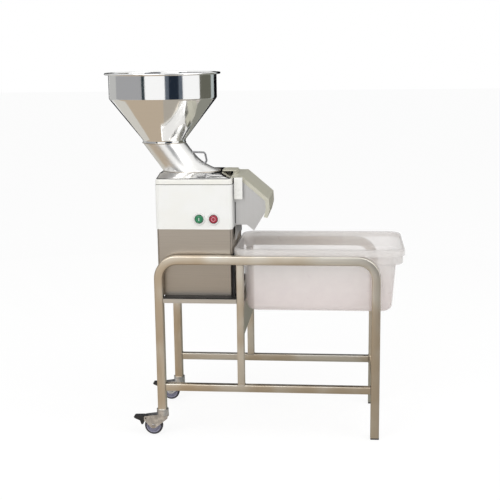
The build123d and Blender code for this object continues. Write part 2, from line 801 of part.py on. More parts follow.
# Discs on the drive shaft: the ejector sweeps the floor, the slicing disc cuts above it
ejector_bottom = chamber_bottom + 4
with BuildPart() as ejector:
    ring(machine_x, 0, ejector_bottom, disc_radius, boss_radius + 2, 3)
    ring(machine_x, 0, ejector_bottom, boss_radius + 7, boss_radius + 2, boss_height)
    ring(machine_x, 0, boss_top + 2, boss_radius + 7, shaft_radius, 6)
    with Locations((machine_x, 0, ejector_bottom + 11)):
        with PolarLocations((disc_radius + boss_radius + 3) / 2, 3):
            Box(disc_radius - boss_radius - 5, 5, 22)
keep(ejector.part, "ejector_disc")

with BuildPart() as slicing_disc:
    ring(machine_x, 0, slicing_z, disc_radius, shaft_radius, 3)
    ring(machine_x, 0, boss_top + 8, 19, shaft_radius, slicing_z + 8 - boss_top - 8)
    with BuildSketch(Plane.XY.offset(slicing_z)):
        with Locations((machine_x, 0)):
            with PolarLocations(58, blade_count):
                SlotOverall(66, blade_slot)
    extrude(amount=3, mode=Mode.SUBTRACT)
keep(slicing_disc.part, "slicing_disc")

with BuildPart() as blades:
    with Locations((machine_x, 0, slicing_z + 4)):
        with PolarLocations(blade_radius, blade_count):
            with Locations((0, blade_slot / 2 + 3, 0)):
                Box(blade_length, blade_width, 2)
    chamfer(blades.edges().group_by(Axis.Z)[-1].filter_by(lambda e: e.length > blade_length - 4), 1.2)
keep(blades.part, "slicing_blades")

with BuildPart() as nut:
    with Locations((machine_x, 0, nut_bottom)):
        Cylinder(16, nut_height, align=(Align.CENTER, Align.CENTER, Align.MIN))
    fillet(nut.edges().group_by(Axis.Z)[-1], 3)
    with Locations((machine_x, 0, nut_bottom)):
        with PolarLocations(17, 6):
            Cylinder(3.5, 2 * nut_height - 8, mode=Mode.SUBTRACT)
    with Locations((machine_x, 0, nut_bottom)):
        Cylinder(shaft_radius, 2 * (nut_height - 6), mode=Mode.SUBTRACT)
keep(nut.part, "disc_nut")

# Lid with its seal, hinge knuckles and the bevelled pan that the elbow stands on
feed_x = machine_x - 15
hinge_y = head_depth / 2 + hinge_back
hinge_z = (lid_bottom + lid_top) / 2
with BuildPart() as lid_seal:
    with BuildSketch(Plane.XY.offset(head_top)):
        with Locations((machine_x, 0)):
            RectangleRounded(head_length - 6, head_depth - 6, head_corner - 3)
            Circle(chamber_radius + 4, mode=Mode.SUBTRACT)
    extrude(amount=gasket - fit_gap)
keep(lid_seal.part, "lid_seal")

with BuildPart() as lid:
    with BuildSketch(Plane.XY.offset(lid_bottom)):
        with Locations((machine_x, 0)):
            RectangleRounded(head_length - 2 * lid_inset, head_depth - 2 * lid_inset, head_corner)
    extrude(amount=lid_thickness)
    fillet(lid.edges().group_by(Axis.Z)[-1], 4)
    with BuildSketch(Plane.XY.offset(lid_bottom)):
        with Locations((machine_x, 0)):
            Circle(chamber_radius - 2)
    extrude(amount=8, mode=Mode.SUBTRACT)
    for knuckle_x in (machine_x - knuckle_spread / 2, machine_x + knuckle_spread / 2):
        with BuildSketch(Plane.YZ.offset(knuckle_x - knuckle_width / 2)):
            with Locations((hinge_y, hinge_z)):
                Circle(knuckle_radius - 2)
            with Locations((hinge_y - hinge_back / 2, hinge_z)):
                Rectangle(hinge_back + 4, 2 * (knuckle_radius - 3))
        extrude(amount=knuckle_width)
        with BuildSketch(Plane.YZ.offset(knuckle_x - knuckle_width / 2)):
            with Locations((hinge_y, hinge_z)):
                Circle(hinge_pin_radius + running_gap)
        extrude(amount=knuckle_width, mode=Mode.SUBTRACT)
    with Locations((feed_x, 0, lid_bottom)):
        Cylinder(feed_radius, 4 * lid_thickness, mode=Mode.SUBTRACT)
keep(lid.part, "lid")

with BuildPart() as bracket:
    with BuildSketch(Plane.YZ.offset(machine_x - bracket_length / 2)) as ear:
        with Locations((hinge_y, hinge_z)):
            Circle(knuckle_radius)
        with BuildLine():
            Polyline(
                (hinge_y - knuckle_radius, hinge_z),
                (hinge_y + knuckle_radius, hinge_z),
                (head_depth / 2 + 6, hinge_z - 44),
                (head_depth / 2, hinge_z - 44),
                (head_depth / 2, hinge_z - 24),
                close=True,
            )
        make_face()
    extrude(amount=bracket_length)
    for gap_x in (machine_x - knuckle_spread / 2, machine_x + knuckle_spread / 2):
        with Locations((gap_x, hinge_y, hinge_z)):
            Box(knuckle_width + 2 * 0.5, 4 * knuckle_radius, 2 * knuckle_radius + 10, mode=Mode.SUBTRACT)
    with Locations((machine_x, hinge_y, hinge_z)):
        Box(knuckle_spread - knuckle_width - 2 * ear_thickness, 4 * knuckle_radius, 80, mode=Mode.SUBTRACT)
    with BuildSketch(Plane.YZ.offset(machine_x - bracket_length / 2)):
        with Locations((hinge_y, hinge_z)):
            Circle(hinge_pin_radius)
    extrude(amount=bracket_length, mode=Mode.SUBTRACT)
keep(bracket.part, "hinge_brackets")

with BuildPart() as hinge_pin:
    with BuildSketch(Plane.YZ.offset(machine_x - bracket_length / 2 - 4)):
        with Locations((hinge_y, hinge_z)):
            Circle(hinge_pin_radius)
    extrude(amount=bracket_length + 8)
    chamfer(hinge_pin.edges(), 1)
keep(hinge_pin.part, "hinge_pin")

pan_x = stand_left + pan_offset
with BuildPart() as pan:
    with BuildSketch(Plane.XY.offset(lid_top)):
        with Locations((pan_x, 0)):
            RectangleRounded(pan_length, pan_depth, 10)
    extrude(amount=pan_edge)
    with BuildSketch(Plane.XY.offset(lid_top + pan_edge)):
        with Locations((pan_x, 0)):
            RectangleRounded(pan_length, pan_depth, 10)
    with BuildSketch(Plane.XY.offset(pan_top)):
        with Locations((stand_left + pan_top_offset, 0)):
            RectangleRounded(pan_top_length, pan_top_depth, 10)
    loft()
    with Locations((feed_x, 0, lid_top)):
        Cylinder(feed_radius, 4 * pan_height, mode=Mode.SUBTRACT)
keep(pan.part, "feed_pan")


# Elbow: slanting tube that leaves the funnel as a circle and flares to the right at its foot
def elbow_section(rise, thickness):
    """Level ellipse of the elbow at a share of its height, with the sheet taken off."""
    flare = (1 - rise) ** elbow_flare_power
    left = funnel_x - throat_radius + elbow_shift * (1 - rise)
    right = funnel_x + throat_radius + elbow_shift * (1 - rise) + elbow_flare * flare
    half_depth = throat_radius + elbow_flare_depth * flare
    with BuildSketch(Plane.XY.offset(pan_top + (throat_top - pan_top) * rise)) as section:
        with Locations(((left + right) / 2, 0)):
            Ellipse((right - left) / 2 - thickness, half_depth - thickness)
    return section.sketch


with BuildPart() as elbow:
    shares = [(step / (elbow_sections - 1)) ** 1.5 for step in range(elbow_sections)]
    loft([elbow_section(share, 0) for share in shares])
    loft([elbow_section(share, sheet) for share in shares], mode=Mode.SUBTRACT)
keep(elbow.part, "feed_elbow")

# Funnel: turned cone and band with a rolled lip
with BuildPart() as funnel:
    with BuildSketch(Plane.XZ):
        with BuildLine():
            FilletPolyline(
                (funnel_x + throat_radius, throat_top),
                (funnel_x + throat_radius, throat_top + throat_collar),
                (funnel_x + funnel_radius, band_bottom),
                (funnel_x + funnel_radius, funnel_top - lip_height / 2),
                radius=band_bend,
            )
            offset(amount=sheet, side=Side.LEFT)
        make_face()
        with Locations((funnel_x + lip_radius - lip_width / 2, funnel_top - lip_height / 2)):
            SlotOverall(lip_width, lip_height)
    revolve(axis=Axis((funnel_x, 0, 0), (0, 0, 1)))
keep(funnel.part, "funnel")

handle_top = throat_top - handle_drop
handle_foot = handle_top - handle_height - 2


def elbow_edge(height):
    """X of the elbow's right side at one height."""
    drop = (throat_top - height) / elbow_height
    return funnel_x + throat_radius + elbow_shift * drop + elbow_flare * drop**elbow_flare_power


with BuildPart() as handle:
    handle_left = elbow_edge(handle_top) - handle_rod / 2
    handle_right = elbow_edge(handle_top) + handle_reach
    with BuildLine(Plane.XZ) as handle_line:
        FilletPolyline(
            (handle_left, handle_top),
            (handle_right, handle_top - 2),
            (handle_right + handle_lean, handle_top - handle_height),
            (elbow_edge(handle_foot) - handle_root, handle_foot),
            radius=handle_bend,
        )
    with BuildSketch(Plane((handle_left, 0, handle_top), z_dir=(handle_right - handle_left, 0, -2))):
        Circle(handle_rod / 2)
    sweep(path=handle_line.line)
    loft([elbow_section(share, 0) for share in shares], mode=Mode.SUBTRACT)
keep(handle.part, "lift_handle")

# Outlet chute: flange on the head, two cheeks, a bent floor and a drip apron
hood_top = lid_top + hood_sheet
cheek_left = head_right + chute_flange
elbow_out = head_right + hood_flat
nose_x = head_right + hood_reach
nose_top = lid_top - hood_nose_drop
hood_left = head_right - hood_overlap
hood_line = [
    (hood_left, hood_top),
    (elbow_out, hood_top),
    (nose_x - hood_nose_lean, nose_top),
    (nose_x, nose_top - hood_nose_height),
    (nose_x - hood_lip_lean, nose_top - hood_nose_height - hood_lip_height),
]
slope = (hood_top - nose_top) / (nose_x - hood_nose_lean - elbow_out)
under = hood_sheet + hood_gap
cheek_right = nose_x - hood_lip_lean - hood_sheet - lip_clearance
turn = under * math.tan(math.atan(slope) / 2)
floor_z = head_bottom + chute_floor_lift
cheek = [
    (cheek_left, floor_z),
    (head_right + chute_floor_flat, floor_z),
    (head_right + chute_floor_end, floor_z - chute_floor_drop),
    (cheek_right, head_bottom + chute_corner_lift),
    (cheek_right, hood_top - under - slope * (cheek_right - elbow_out + turn)),
    (elbow_out - turn, hood_top - under),
    (cheek_left, hood_top - under),
]
with BuildPart() as chute:
    flange_top = head_top - 1
    with BuildSketch(Plane.YZ.offset(head_right)):
        with Locations((0, (head_bottom + 3 + flange_top) / 2)):
            Rectangle(chute_width + 16, flange_top - head_bottom - 3)
        with Locations((0, (outlet_bottom + outlet_top) / 2)):
            Rectangle(outlet_width, outlet_top - outlet_bottom, mode=Mode.SUBTRACT)
    extrude(amount=chute_flange)
    for cheek_y in (chute_width / 2 - chute_sheet, -chute_width / 2):
        with BuildSketch(Plane.XZ.offset(cheek_y)):
            with BuildLine():
                Polyline(*cheek, close=True)
            make_face()
        extrude(amount=chute_sheet)
    with BuildSketch(Plane.XZ.offset(-chute_width / 2)):
        with BuildLine():
            Polyline(
                cheek[0],
                cheek[1],
                cheek[2],
                (cheek[2][0] + 2, cheek[2][1] + 3),
                (cheek[1][0] + 1, cheek[1][1] + chute_sheet),
                (cheek[0][0], cheek[0][1] + chute_sheet),
                close=True,
            )
        make_face()
    extrude(amount=chute_width)
    with BuildSketch(Plane.YZ.offset(cheek_left)):
        with Locations((0, floor_z - drip_height / 2)):
            Rectangle(outlet_width, drip_height)
        with Locations((0, floor_z - drip_height + drip_sag - drip_radius)):
            Circle(drip_radius, mode=Mode.SUBTRACT)
    extrude(amount=2)
keep(chute.part, "outlet_chute")

# Hood on the lid: bent cover over the chute with a skirt on the front
with BuildPart() as hood:
    with BuildSketch(Plane.XZ.offset(-chute_width / 2 - 2)):
        with BuildLine() as hood_outline:
            Polyline(*hood_line)
            offset(amount=hood_sheet, side=Side.RIGHT)
        make_face()
    extrude(amount=chute_width + 2 + hood_side_gap + hood_sheet)
    with BuildSketch(Plane.XZ.offset(chute_width / 2 + hood_side_gap)):
        with BuildLine() as skirt_outline:
            Polyline((cheek_left, hood_top), *hood_line[1:])
            offset(amount=hood_skirt, side=Side.RIGHT)
        make_face()
    extrude(amount=hood_sheet)
    tab_right = hood_left + hood_tab_foot
    tab_bottom = pan_top + 1
    with BuildSketch(Plane.XY.offset(tab_bottom)):
        with Locations((tab_right - hood_tab / 2, 0)):
            RectangleRounded(hood_tab, hood_tab_width, 5)
    extrude(amount=hood_tab_sheet)
    with BuildSketch(Plane.XY.offset(hood_top)):
        with Locations((tab_right - hood_tab_foot / 2, 0)):
            Rectangle(hood_tab_foot, hood_tab_width - 12)
    extrude(amount=tab_bottom - hood_top)
keep(hood.part, "hood")

# Latch at the front of the chute, hinged low down and closing against the hood
latch_x = head_right + latch_offset
latch_bottom = lid_top + 2 - latch_height
latch_pin_z = latch_bottom + 10
latch_pin_y = -chute_width / 2 - latch_thickness / 2 - latch_gap
latch_front = latch_pin_y - 8.5
latch_back = latch_front + latch_thickness
with BuildPart() as latch:
    with BuildSketch(Plane.YZ.offset(latch_x - latch_width / 2)):
        with Locations(((latch_front + latch_back) / 2, latch_bottom + latch_height / 2)):
            RectangleRounded(latch_thickness, latch_height, 3)
    extrude(amount=latch_width)
    with BuildSketch(Plane.YZ.offset(latch_x - lug_width / 2 - 0.5)):
        with Locations(((latch_front + latch_back) / 2 + latch_wall, latch_bottom + 12)):
            Rectangle(latch_thickness, 30)
    extrude(amount=lug_width + 1, mode=Mode.SUBTRACT)
    with BuildSketch(Plane.YZ.offset(latch_x - latch_width / 2)):
        with Locations((latch_pin_y, latch_pin_z)):
            Circle(latch_pin_radius + running_gap)
    extrude(amount=latch_width, mode=Mode.SUBTRACT)
keep(latch.part, "lid_latch")

with BuildPart() as latch_pin:
    with BuildSketch(Plane.YZ.offset(latch_x - lug_width / 2)):
        with Locations((latch_pin_y, latch_pin_z)):
            Circle(lug_radius)
        with Locations(((latch_pin_y - chute_width / 2) / 2, latch_pin_z)):
            Rectangle(-chute_width / 2 - latch_pin_y, 2 * lug_radius)
    extrude(amount=lug_width)
    with BuildSketch(Plane.YZ.offset(latch_x - latch_width / 2)):
        with Locations((latch_pin_y, latch_pin_z)):
            Circle(latch_pin_radius)
    extrude(amount=latch_width)
keep(latch_pin.part, "latch_pin")

# Push buttons, their bezels and contact barrels, and the lid switch
wall_inner = head_front + head_wall
for button, button_x in (("start", start_x), ("stop", stop_x)):
    with BuildPart() as cap:
        with BuildSketch(Plane.XZ.offset(-head_front + bezel_height + button_travel - 24)):
            with Locations((button_x, button_z)):
                Circle(button_radius)
        extrude(amount=24)
        fillet(cap.edges().group_by(Axis.Y)[0], 2)
        with BuildSketch(Plane.XZ.offset(-wall_inner - fit_gap - 2)):
            with Locations((button_x, button_z)):
                Circle(button_radius + 2.5)
        extrude(amount=2)
    keep(cap.part, f"{button}_button")

with BuildPart() as bezels:
    for button_x in (start_x, stop_x):
        with BuildSketch(Plane.XZ.offset(-head_front)):
            with Locations((button_x, button_z)):
                Circle(bezel_radius)
                Circle(button_radius + fit_gap, mode=Mode.SUBTRACT)
        extrude(amount=bezel_height, taper=20)
        with BuildSketch(Plane.XZ.offset(-wall_inner - 22)):
            with Locations((button_x, button_z)):
                Circle(bezel_radius - 2)
        extrude(amount=22)
        with BuildSketch(Plane.XZ.offset(-wall_inner - 18)):
            with Locations((button_x, button_z)):
                Circle(button_radius + 3)
        extrude(amount=18, mode=Mode.SUBTRACT)
keep(bezels.part, "button_bezels")

with BuildPart() as lid_switch:
    with Locations((machine_x - 98, head_depth / 2 - head_wall - 14, chamber_top - 12)):
        Box(44, 22, 24)
        with Locations((0, 0, -14)):
            Box(30, 12, 4)
    fillet(lid_switch.edges().filter_by(Axis.Z), 1.5)
keep(lid_switch.part, "lid_switch")

os.makedirs("parts", exist_ok=True)
for piece in pieces:
    export_step(piece, f"parts/{piece.label}.step")
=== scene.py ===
"""Vegetable cutting machine: a funnel and white cutting head on a tube stand, with a bin.

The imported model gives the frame, in metres, with +Z up and -Y the side of the push buttons.
"""

import math

import bmesh
import bpy
import numpy as np
from mathutils import Matrix, Vector


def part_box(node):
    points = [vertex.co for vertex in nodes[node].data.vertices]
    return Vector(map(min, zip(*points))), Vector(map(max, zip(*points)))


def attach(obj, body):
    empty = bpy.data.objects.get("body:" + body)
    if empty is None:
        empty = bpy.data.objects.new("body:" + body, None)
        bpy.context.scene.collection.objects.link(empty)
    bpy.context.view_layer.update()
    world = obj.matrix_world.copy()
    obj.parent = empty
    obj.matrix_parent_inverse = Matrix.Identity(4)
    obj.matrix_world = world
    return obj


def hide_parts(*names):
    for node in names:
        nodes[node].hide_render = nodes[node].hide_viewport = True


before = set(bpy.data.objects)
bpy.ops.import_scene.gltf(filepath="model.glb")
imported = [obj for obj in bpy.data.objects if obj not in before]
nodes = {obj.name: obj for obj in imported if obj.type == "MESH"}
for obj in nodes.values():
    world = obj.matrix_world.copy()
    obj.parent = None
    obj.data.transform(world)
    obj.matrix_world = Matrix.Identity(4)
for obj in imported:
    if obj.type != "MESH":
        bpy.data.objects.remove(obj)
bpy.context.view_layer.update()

# Stand: two bent side frames, lower rails, middle legs and the end rail
# 30 mm square stainless tube, bent over a former at the top corners, with 25 mm tube between.
# The tubes are ground along their length and TIG-welded, so the grain runs along each run.


class Shade:
    """One output socket, on which + - * / and comparisons add the Math nodes they stand for."""

    def __init__(self, tree, socket):
        self.tree = tree
        self.socket = socket

    def sum_node(self, operation, first, second):
        """Adds a Math node on two values, each one a number or a Shade."""
        node = self.tree.nodes.new("ShaderNodeMath")
        node.operation = operation
        for plug, value in zip(node.inputs, (first, second)):
            if isinstance(value, Shade):
                self.tree.links.new(value.socket, plug)
            else:
                plug.default_value = value
        return Shade(self.tree, node.outputs[0])

    def __add__(self, other):
        return self.sum_node("ADD", self, other)

    def __radd__(self, other):
        return self.sum_node("ADD", other, self)

    def __sub__(self, other):
        return self.sum_node("SUBTRACT", self, other)

    def __rsub__(self, other):
        return self.sum_node("SUBTRACT", other, self)

    def __mul__(self, other):
        return self.sum_node("MULTIPLY", self, other)

    def __rmul__(self, other):
        return self.sum_node("MULTIPLY", other, self)

    def __gt__(self, other):
        return self.sum_node("GREATER_THAN", self, other)

    def __lt__(self, other):
        return self.sum_node("LESS_THAN", self, other)


class Finish:
    """A material being mixed: its nodes, its shader, and the place of each point on the piece."""

    def __init__(self, name, **fixed):
        self.material = bpy.data.materials.new(name)
        self.material.use_nodes = True
        self.tree = self.material.node_tree
        self.shader = self.tree.nodes["Principled BSDF"]
        for socket, value in fixed.items():
            self.shader.inputs[socket.replace("_", " ")].default_value = value
        self.place = self.node("ShaderNodeTexCoord", "Object")
        self.run = self.node("ShaderNodeTexCoord", "UV")

    def node(self, kind, output, settings=None, **values):
        """Adds a node: its settings first, then its sockets, and returns one output of it."""
        node = self.tree.nodes.new(kind)
        for name, value in (settings or {}).items():
            if name == "stops":
                self.set_stops(node.color_ramp, value)
            else:
                setattr(node, name, value)
        for name, value in values.items():
            plug = node.inputs[int(name[1:]) if name[0] == "_" else name.replace("_", " ")]
            if isinstance(value, Shade):
                self.tree.links.new(value.socket, plug)
            else:
                plug.default_value = value
        return Shade(self.tree, node.outputs[output])

    def set_stops(self, ramp, stops):
        """Gives a colour ramp its stops, each one a position and a colour or a grey level."""
        while len(ramp.elements) < len(stops):
            ramp.elements.new(0.5)
        for element, (position, tint) in zip(ramp.elements, stops):
            element.position = position
            element.color = tint if isinstance(tint, tuple) else (tint, tint, tint, 1.0)

    def scaled(self, x, y, z, place=None):
        """The place of each point with each axis stretched, so that a pattern is drawn out."""
        return self.node("ShaderNodeMapping", "Vector", Vector=place or self.place, Scale=(x, y, z))

    def noise(self, scale, detail=3.0, roughness=0.55, place=None, distortion=0.0):
        """Cloudy values round 0.5, with the given number of clouds to a metre."""
        return self.node(
            "ShaderNodeTexNoise",
            "Fac",
            Vector=place or self.place,
            Scale=scale,
            Detail=detail,
            Roughness=roughness,
            Distortion=distortion,
        )

    def axis(self, name):
        """One coordinate of the place, in metres."""
        return self.node("ShaderNodeSeparateXYZ", name, Vector=self.place)

    def mix(self, factor, first, second):
        """Blend of two colours by a factor."""
        return self.node(
            "ShaderNodeMix", 2, {"data_type": "RGBA"}, _0=factor, _6=first, _7=second
        )

    def soften(self, value, low, high, to_low=0.0, to_high=1.0):
        """The value's stretch from low to high, eased and laid over to_low to to_high."""
        return self.node(
            "ShaderNodeMapRange",
            "Result",
            {"interpolation_type": "SMOOTHSTEP"},
            Value=value,
            From_Min=low,
            From_Max=high,
            To_Min=to_low,
            To_Max=to_high,
        )

    def set(self, **values):
        """Feeds the shader's sockets."""
        for name, value in values.items():
            plug = self.shader.inputs[name.replace("_", " ")]
            if isinstance(value, Shade):
                self.tree.links.new(value.socket, plug)
            else:
                plug.default_value = value

    def bump(self, height, depth, strength=1.0):
        """Raises the surface by a height value times a depth in metres."""
        normal = self.node(
            "ShaderNodeBump", "Normal", Height=height, Distance=depth, Strength=strength
        )
        self.set(Normal=normal)


def dress(finish, *names):
    """Gives a finish to nodes of the frame, and returns its material."""
    for name in names:
        for slot in nodes[name].material_slots:
            slot.material = finish.material
    return finish.material


def brushed(name, tint, roughness, along, streak=0.12, painted_reflection_tint=None):
    """Ground steel: fine scratches drawn out along an axis, or along the run of a carried tube.

    The tint given for browner patches is painted reflection: the brown surroundings reflected in the tube,
    laid in random patches.
    """
    finish = Finish(name, Metallic=1.0)
    if along == "run":
        stretched = finish.scaled(420.0, 5.0, 1.0, finish.run)
    else:
        stretch = [420.0, 420.0, 420.0]
        stretch["XYZ".index(along)] = 5.0
        stretched = finish.scaled(*stretch)
    scratch = finish.noise(1.0, 4.0, 0.65, stretched)
    drift = finish.noise(7.0, 2.0)
    shade = finish.soften(scratch, 0.3, 0.7)
    dark = tuple(c * (1 - streak) for c in tint) + (1.0,)
    light = tuple(min(1.0, c * (1 + streak * 0.6)) for c in tint) + (1.0,)
    tone = finish.mix(shade * 0.6 + drift * 0.4, dark, light)
    if painted_reflection_tint:
        # Painted reflection: random browner patches stand for the brown surroundings seen in the steel.
        reflection_patches = finish.soften(finish.noise(4.5, 2.0), 0.38, 0.62)
        tone = finish.mix(reflection_patches, tone, painted_reflection_tint + (1.0,))
    finish.set(
        Base_Color=tone,
        Roughness=scratch * 0.16 + drift * 0.10 + (roughness - 0.13),
    )
    finish.bump(scratch, 0.00002)
    return finish


def skin(name, grid, around=False, along=False, ends=(False, False), crease=35.0):
    """Object on a grid of points, rows by columns, with each point joined to the next both ways.

    around joins the last column to the first, along joins the last row to the first, and ends
    closes the first and last rows with one face each. The UV map is the length run across the
    columns and along the rows, in metres, so a grain can follow the piece. A closed skin whose
    signed volume is below zero is inside out, and its faces are turned over.
    """
    rows, columns = grid.shape[:2]
    index = np.arange(rows * columns).reshape(rows, columns)
    if around:
        index = np.hstack([index, index[:, :1]])
    if along:
        index = np.vstack([index, index[:1]])
    points = grid.reshape(-1, 3)
    laid = points[index]
    across = np.linalg.norm(np.diff(laid, axis=1), axis=-1).mean(axis=0).cumsum()
    onward = np.linalg.norm(np.diff(laid, axis=0), axis=-1).mean(axis=1).cumsum()
    across, onward = np.concatenate([[0], across]), np.concatenate([[0], onward])
    lengths = np.stack(np.meshgrid(across, onward), axis=-1)
    corners = ((slice(None, -1), slice(None, -1)), (slice(None, -1), slice(1, None)))
    corners += ((slice(1, None), slice(1, None)), (slice(1, None), slice(None, -1)))
    quads = np.stack([index[c] for c in corners], axis=-1).reshape(-1, 4)
    spread = np.stack([lengths[c] for c in corners], axis=-2).reshape(-1, 2)
    faces = quads.tolist()
    if ends[0]:
        faces.append(np.arange(columns)[::-1].tolist())
        spread = np.vstack([spread, lengths[0, :columns][::-1]])
    if ends[1]:
        faces.append(np.arange((rows - 1) * columns, rows * columns).tolist())
        spread = np.vstack([spread, lengths[rows - 1, :columns]])
    mesh = bpy.data.meshes.new(name)
    mesh.from_pydata(points.tolist(), [], faces)
    mesh.uv_layers.new(name="run").data.foreach_set("uv", spread.ravel())
    shell = bmesh.new()
    shell.from_mesh(mesh)
    if shell.calc_volume(signed=True) < 0:
        bmesh.ops.reverse_faces(shell, faces=shell.faces[:])
        shell.to_mesh(mesh)
    shell.free()
    mesh.shade_smooth()
    mesh.set_sharp_from_angle(angle=math.radians(crease))
    piece = bpy.data.objects.new(name, mesh)
    bpy.context.scene.collection.objects.link(piece)
    return piece


def bent(points, radii, steps=10):
    """Open line through the points, with each inner corner turned on an arc of its radius.

    The arc's middle lies inside the corner at radius / sin(half the corner's angle), and its
    points are that middle plus the radius turned from one run's normal to the other's.
    """
    points = np.asarray(points, float)
    line = [points[:1]]
    for before, corner, after, radius in zip(points, points[1:], points[2:], radii):
        back = (before - corner) / np.linalg.norm(before - corner)
        on = (after - corner) / np.linalg.norm(after - corner)
        half = np.arccos(np.clip(back @ on, -1, 1)) / 2
        if radius == 0:
            line.append(corner[None])
            continue
        middle = corner + (back + on) / np.linalg.norm(back + on) * radius / np.sin(half)
        sweep = np.pi / 2 - half
        across = (on - back) / np.linalg.norm(on - back)
        inward = (back + on) / np.linalg.norm(back + on)
        angle = np.linspace(-sweep, sweep, steps + 1)[:, None]
        line.append(middle + radius * (np.sin(angle) * across - np.cos(angle) * inward))
    line.append(points[-1:])
    return np.concatenate(line)


def round_outline(half_x, half_y, corner, steps=8):
    """Rounded rectangles round the origin, anticlockwise: four quarter arcs, one row a level."""
    half_x, half_y, corner = np.broadcast_arrays(
        *(np.atleast_1d(np.asarray(v, float)) for v in (half_x, half_y, corner))
    )
    turn = np.linspace(0, np.pi / 2, steps + 1)
    arcs = []
    for quarter, (side_x, side_y) in enumerate(((1, 1), (-1, 1), (-1, -1), (1, -1))):
        angle = turn + quarter * np.pi / 2
        x = side_x * (half_x - corner)[:, None] + corner[:, None] * np.cos(angle)
        y = side_y * (half_y - corner)[:, None] + corner[:, None] * np.sin(angle)
        arcs.append(np.stack([x, y], axis=-1))
    return np.concatenate(arcs, axis=1)


def carry(profile, path, side, closed=False):
    """Profile carried along a flat path: path + a * normal + b * side, one row a path point.

    The normal is the path's flat normal, side x tangent, and side is square to the path's plane.
    """
    side = np.asarray(side, float)
    if closed:
        tangent = np.roll(path, -1, axis=0) - np.roll(path, 1, axis=0)
    else:
        tangent = np.gradient(path, axis=0)
        tangent[1:-1] = path[2:] - path[:-2]
    tangent /= np.linalg.norm(tangent, axis=1)[:, None]
    normal = np.cross(side, tangent)
    return (
        path[:, None]
        + profile[None, :, :1] * normal[:, None]
        + profile[None, :, 1:] * side[None, None]
    )


tube_size, tube_wall, tube_corner = 0.030, 0.0015, 0.004
slim_size, slim_corner = 0.025, 0.003
# The stand tube's browner patches are painted reflection of the brown surroundings.
tube_steel = brushed(
    "stand_tube_grain", (0.85, 0.81, 0.73), 0.34, "run", 0.16, painted_reflection_tint=(0.66, 0.565, 0.44)
)


def square_tube(node, size, corner, points, radii, side):
    """Hollow square tube on a path: its outer skin out, and its inner skin back, as one loop."""
    path = bent(points, radii, 14)
    outer = round_outline(size / 2, size / 2, corner, 5)[0]
    bore = size / 2 - tube_wall
    inner = round_outline(bore, bore, corner - tube_wall / 2, 5)[0]
    grid = np.concatenate([carry(outer, path, side), carry(inner, path, side)[::-1]])
    piece = skin(node + "_tube", grid, around=True, along=True)
    piece.data.materials.append(tube_steel.material)
    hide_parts(node)
    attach(piece, "stand")
    return piece


tube_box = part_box("front_side_frame")
leg_left, leg_right = tube_box[0][0] + tube_size / 2, tube_box[1][0] - tube_size / 2
rail_middle = tube_box[1][2] - tube_size / 2
leg_foot, leg_caster = 0.006, 0.095


def straight(start, stop):
    """Start, middle and end of a straight run."""
    start, stop = np.asarray(start, float), np.asarray(stop, float)
    return np.stack([start, (start + stop) / 2, stop])


for side_name in ("front", "rear"):
    node = side_name + "_side_frame"
    frame_y = float(sum(corner[1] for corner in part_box(node)) / 2)
    line = [
        (leg_left, frame_y, leg_caster),
        (leg_left, frame_y, rail_middle),
        (leg_right, frame_y, rail_middle),
        (leg_right, frame_y, leg_foot),
    ]
    square_tube(node, tube_size, tube_corner, line, (0.065, 0.065), (0, 1, 0))
    node = side_name + "_lower_rail"
    low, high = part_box(node)
    level = (low[2] + high[2]) / 2
    line = straight((low[0], frame_y, level), (high[0], frame_y, level))
    square_tube(node, slim_size, slim_corner, line, (0,), (0, 1, 0))
    node = side_name + "_mid_leg"
    low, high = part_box(node)
    leg_x = (low[0] + high[0]) / 2
    line = straight((leg_x, frame_y, low[2]), (leg_x, frame_y, high[2]))
    square_tube(node, slim_size, slim_corner, line, (0,), (0, 1, 0))
low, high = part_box("end_cross_rail")
level = (low[2] + high[2]) / 2
line = straight((leg_right, low[1], level), (leg_right, high[1], level))
square_tube("end_cross_rail", slim_size, slim_corner, line, (0,), (1, 0, 0))

# Weld beads on the stand
# A TIG bead runs round both ends of each lower rail and middle leg. The dabs of filler show
# as small ripples, and the heat has left them a little browner than the tube.
weld = Finish("weld_bead", Metallic=1.0)
weld_cloud = weld.noise(180.0, 3.0)
weld.set(
    Base_Color=weld.mix(weld_cloud, (0.30, 0.25, 0.19, 1.0), (0.60, 0.57, 0.52, 1.0)),
    Roughness=weld_cloud * 0.2 + 0.22,
)
weld.bump(weld_cloud, 0.0003)


def bead(name, path, side, radius, dab=0.0044, ripple=0.18, finish=weld, body="stand"):
    """Bead on a closed flat path: its radius swells by a rectified sine once a dab."""
    count = len(path)
    length = np.linalg.norm(path - np.roll(path, 1, axis=0), axis=1).cumsum()
    swell = radius * (1 - ripple + ripple * np.abs(np.sin(np.pi * length / dab)))
    angle = np.linspace(0, 2 * np.pi, 9)[:-1]
    ring = np.stack([np.cos(angle), np.sin(angle)], axis=-1)
    grid = carry(ring, path, side, closed=True)
    grid = path[:, None] + (grid - path[:, None]) * swell.reshape(count, 1, 1)
    piece = skin(name, grid, around=True, along=True, crease=80.0)
    piece.data.materials.append(finish.material)
    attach(piece, body)
    return piece


def fine(path, spacing):
    """A closed line with points added so that none is further apart than the spacing."""
    ahead = np.roll(path, -1, axis=0)
    counts = np.maximum(1, np.ceil(np.linalg.norm(ahead - path, axis=1) / spacing)).astype(int)
    start = np.repeat(path, counts, axis=0)
    stop = np.repeat(ahead, counts, axis=0)
    first = np.repeat(np.cumsum(counts) - counts, counts)
    share = (np.arange(len(start)) - first) / np.repeat(counts, counts)
    return start + (stop - start) * share[:, None]


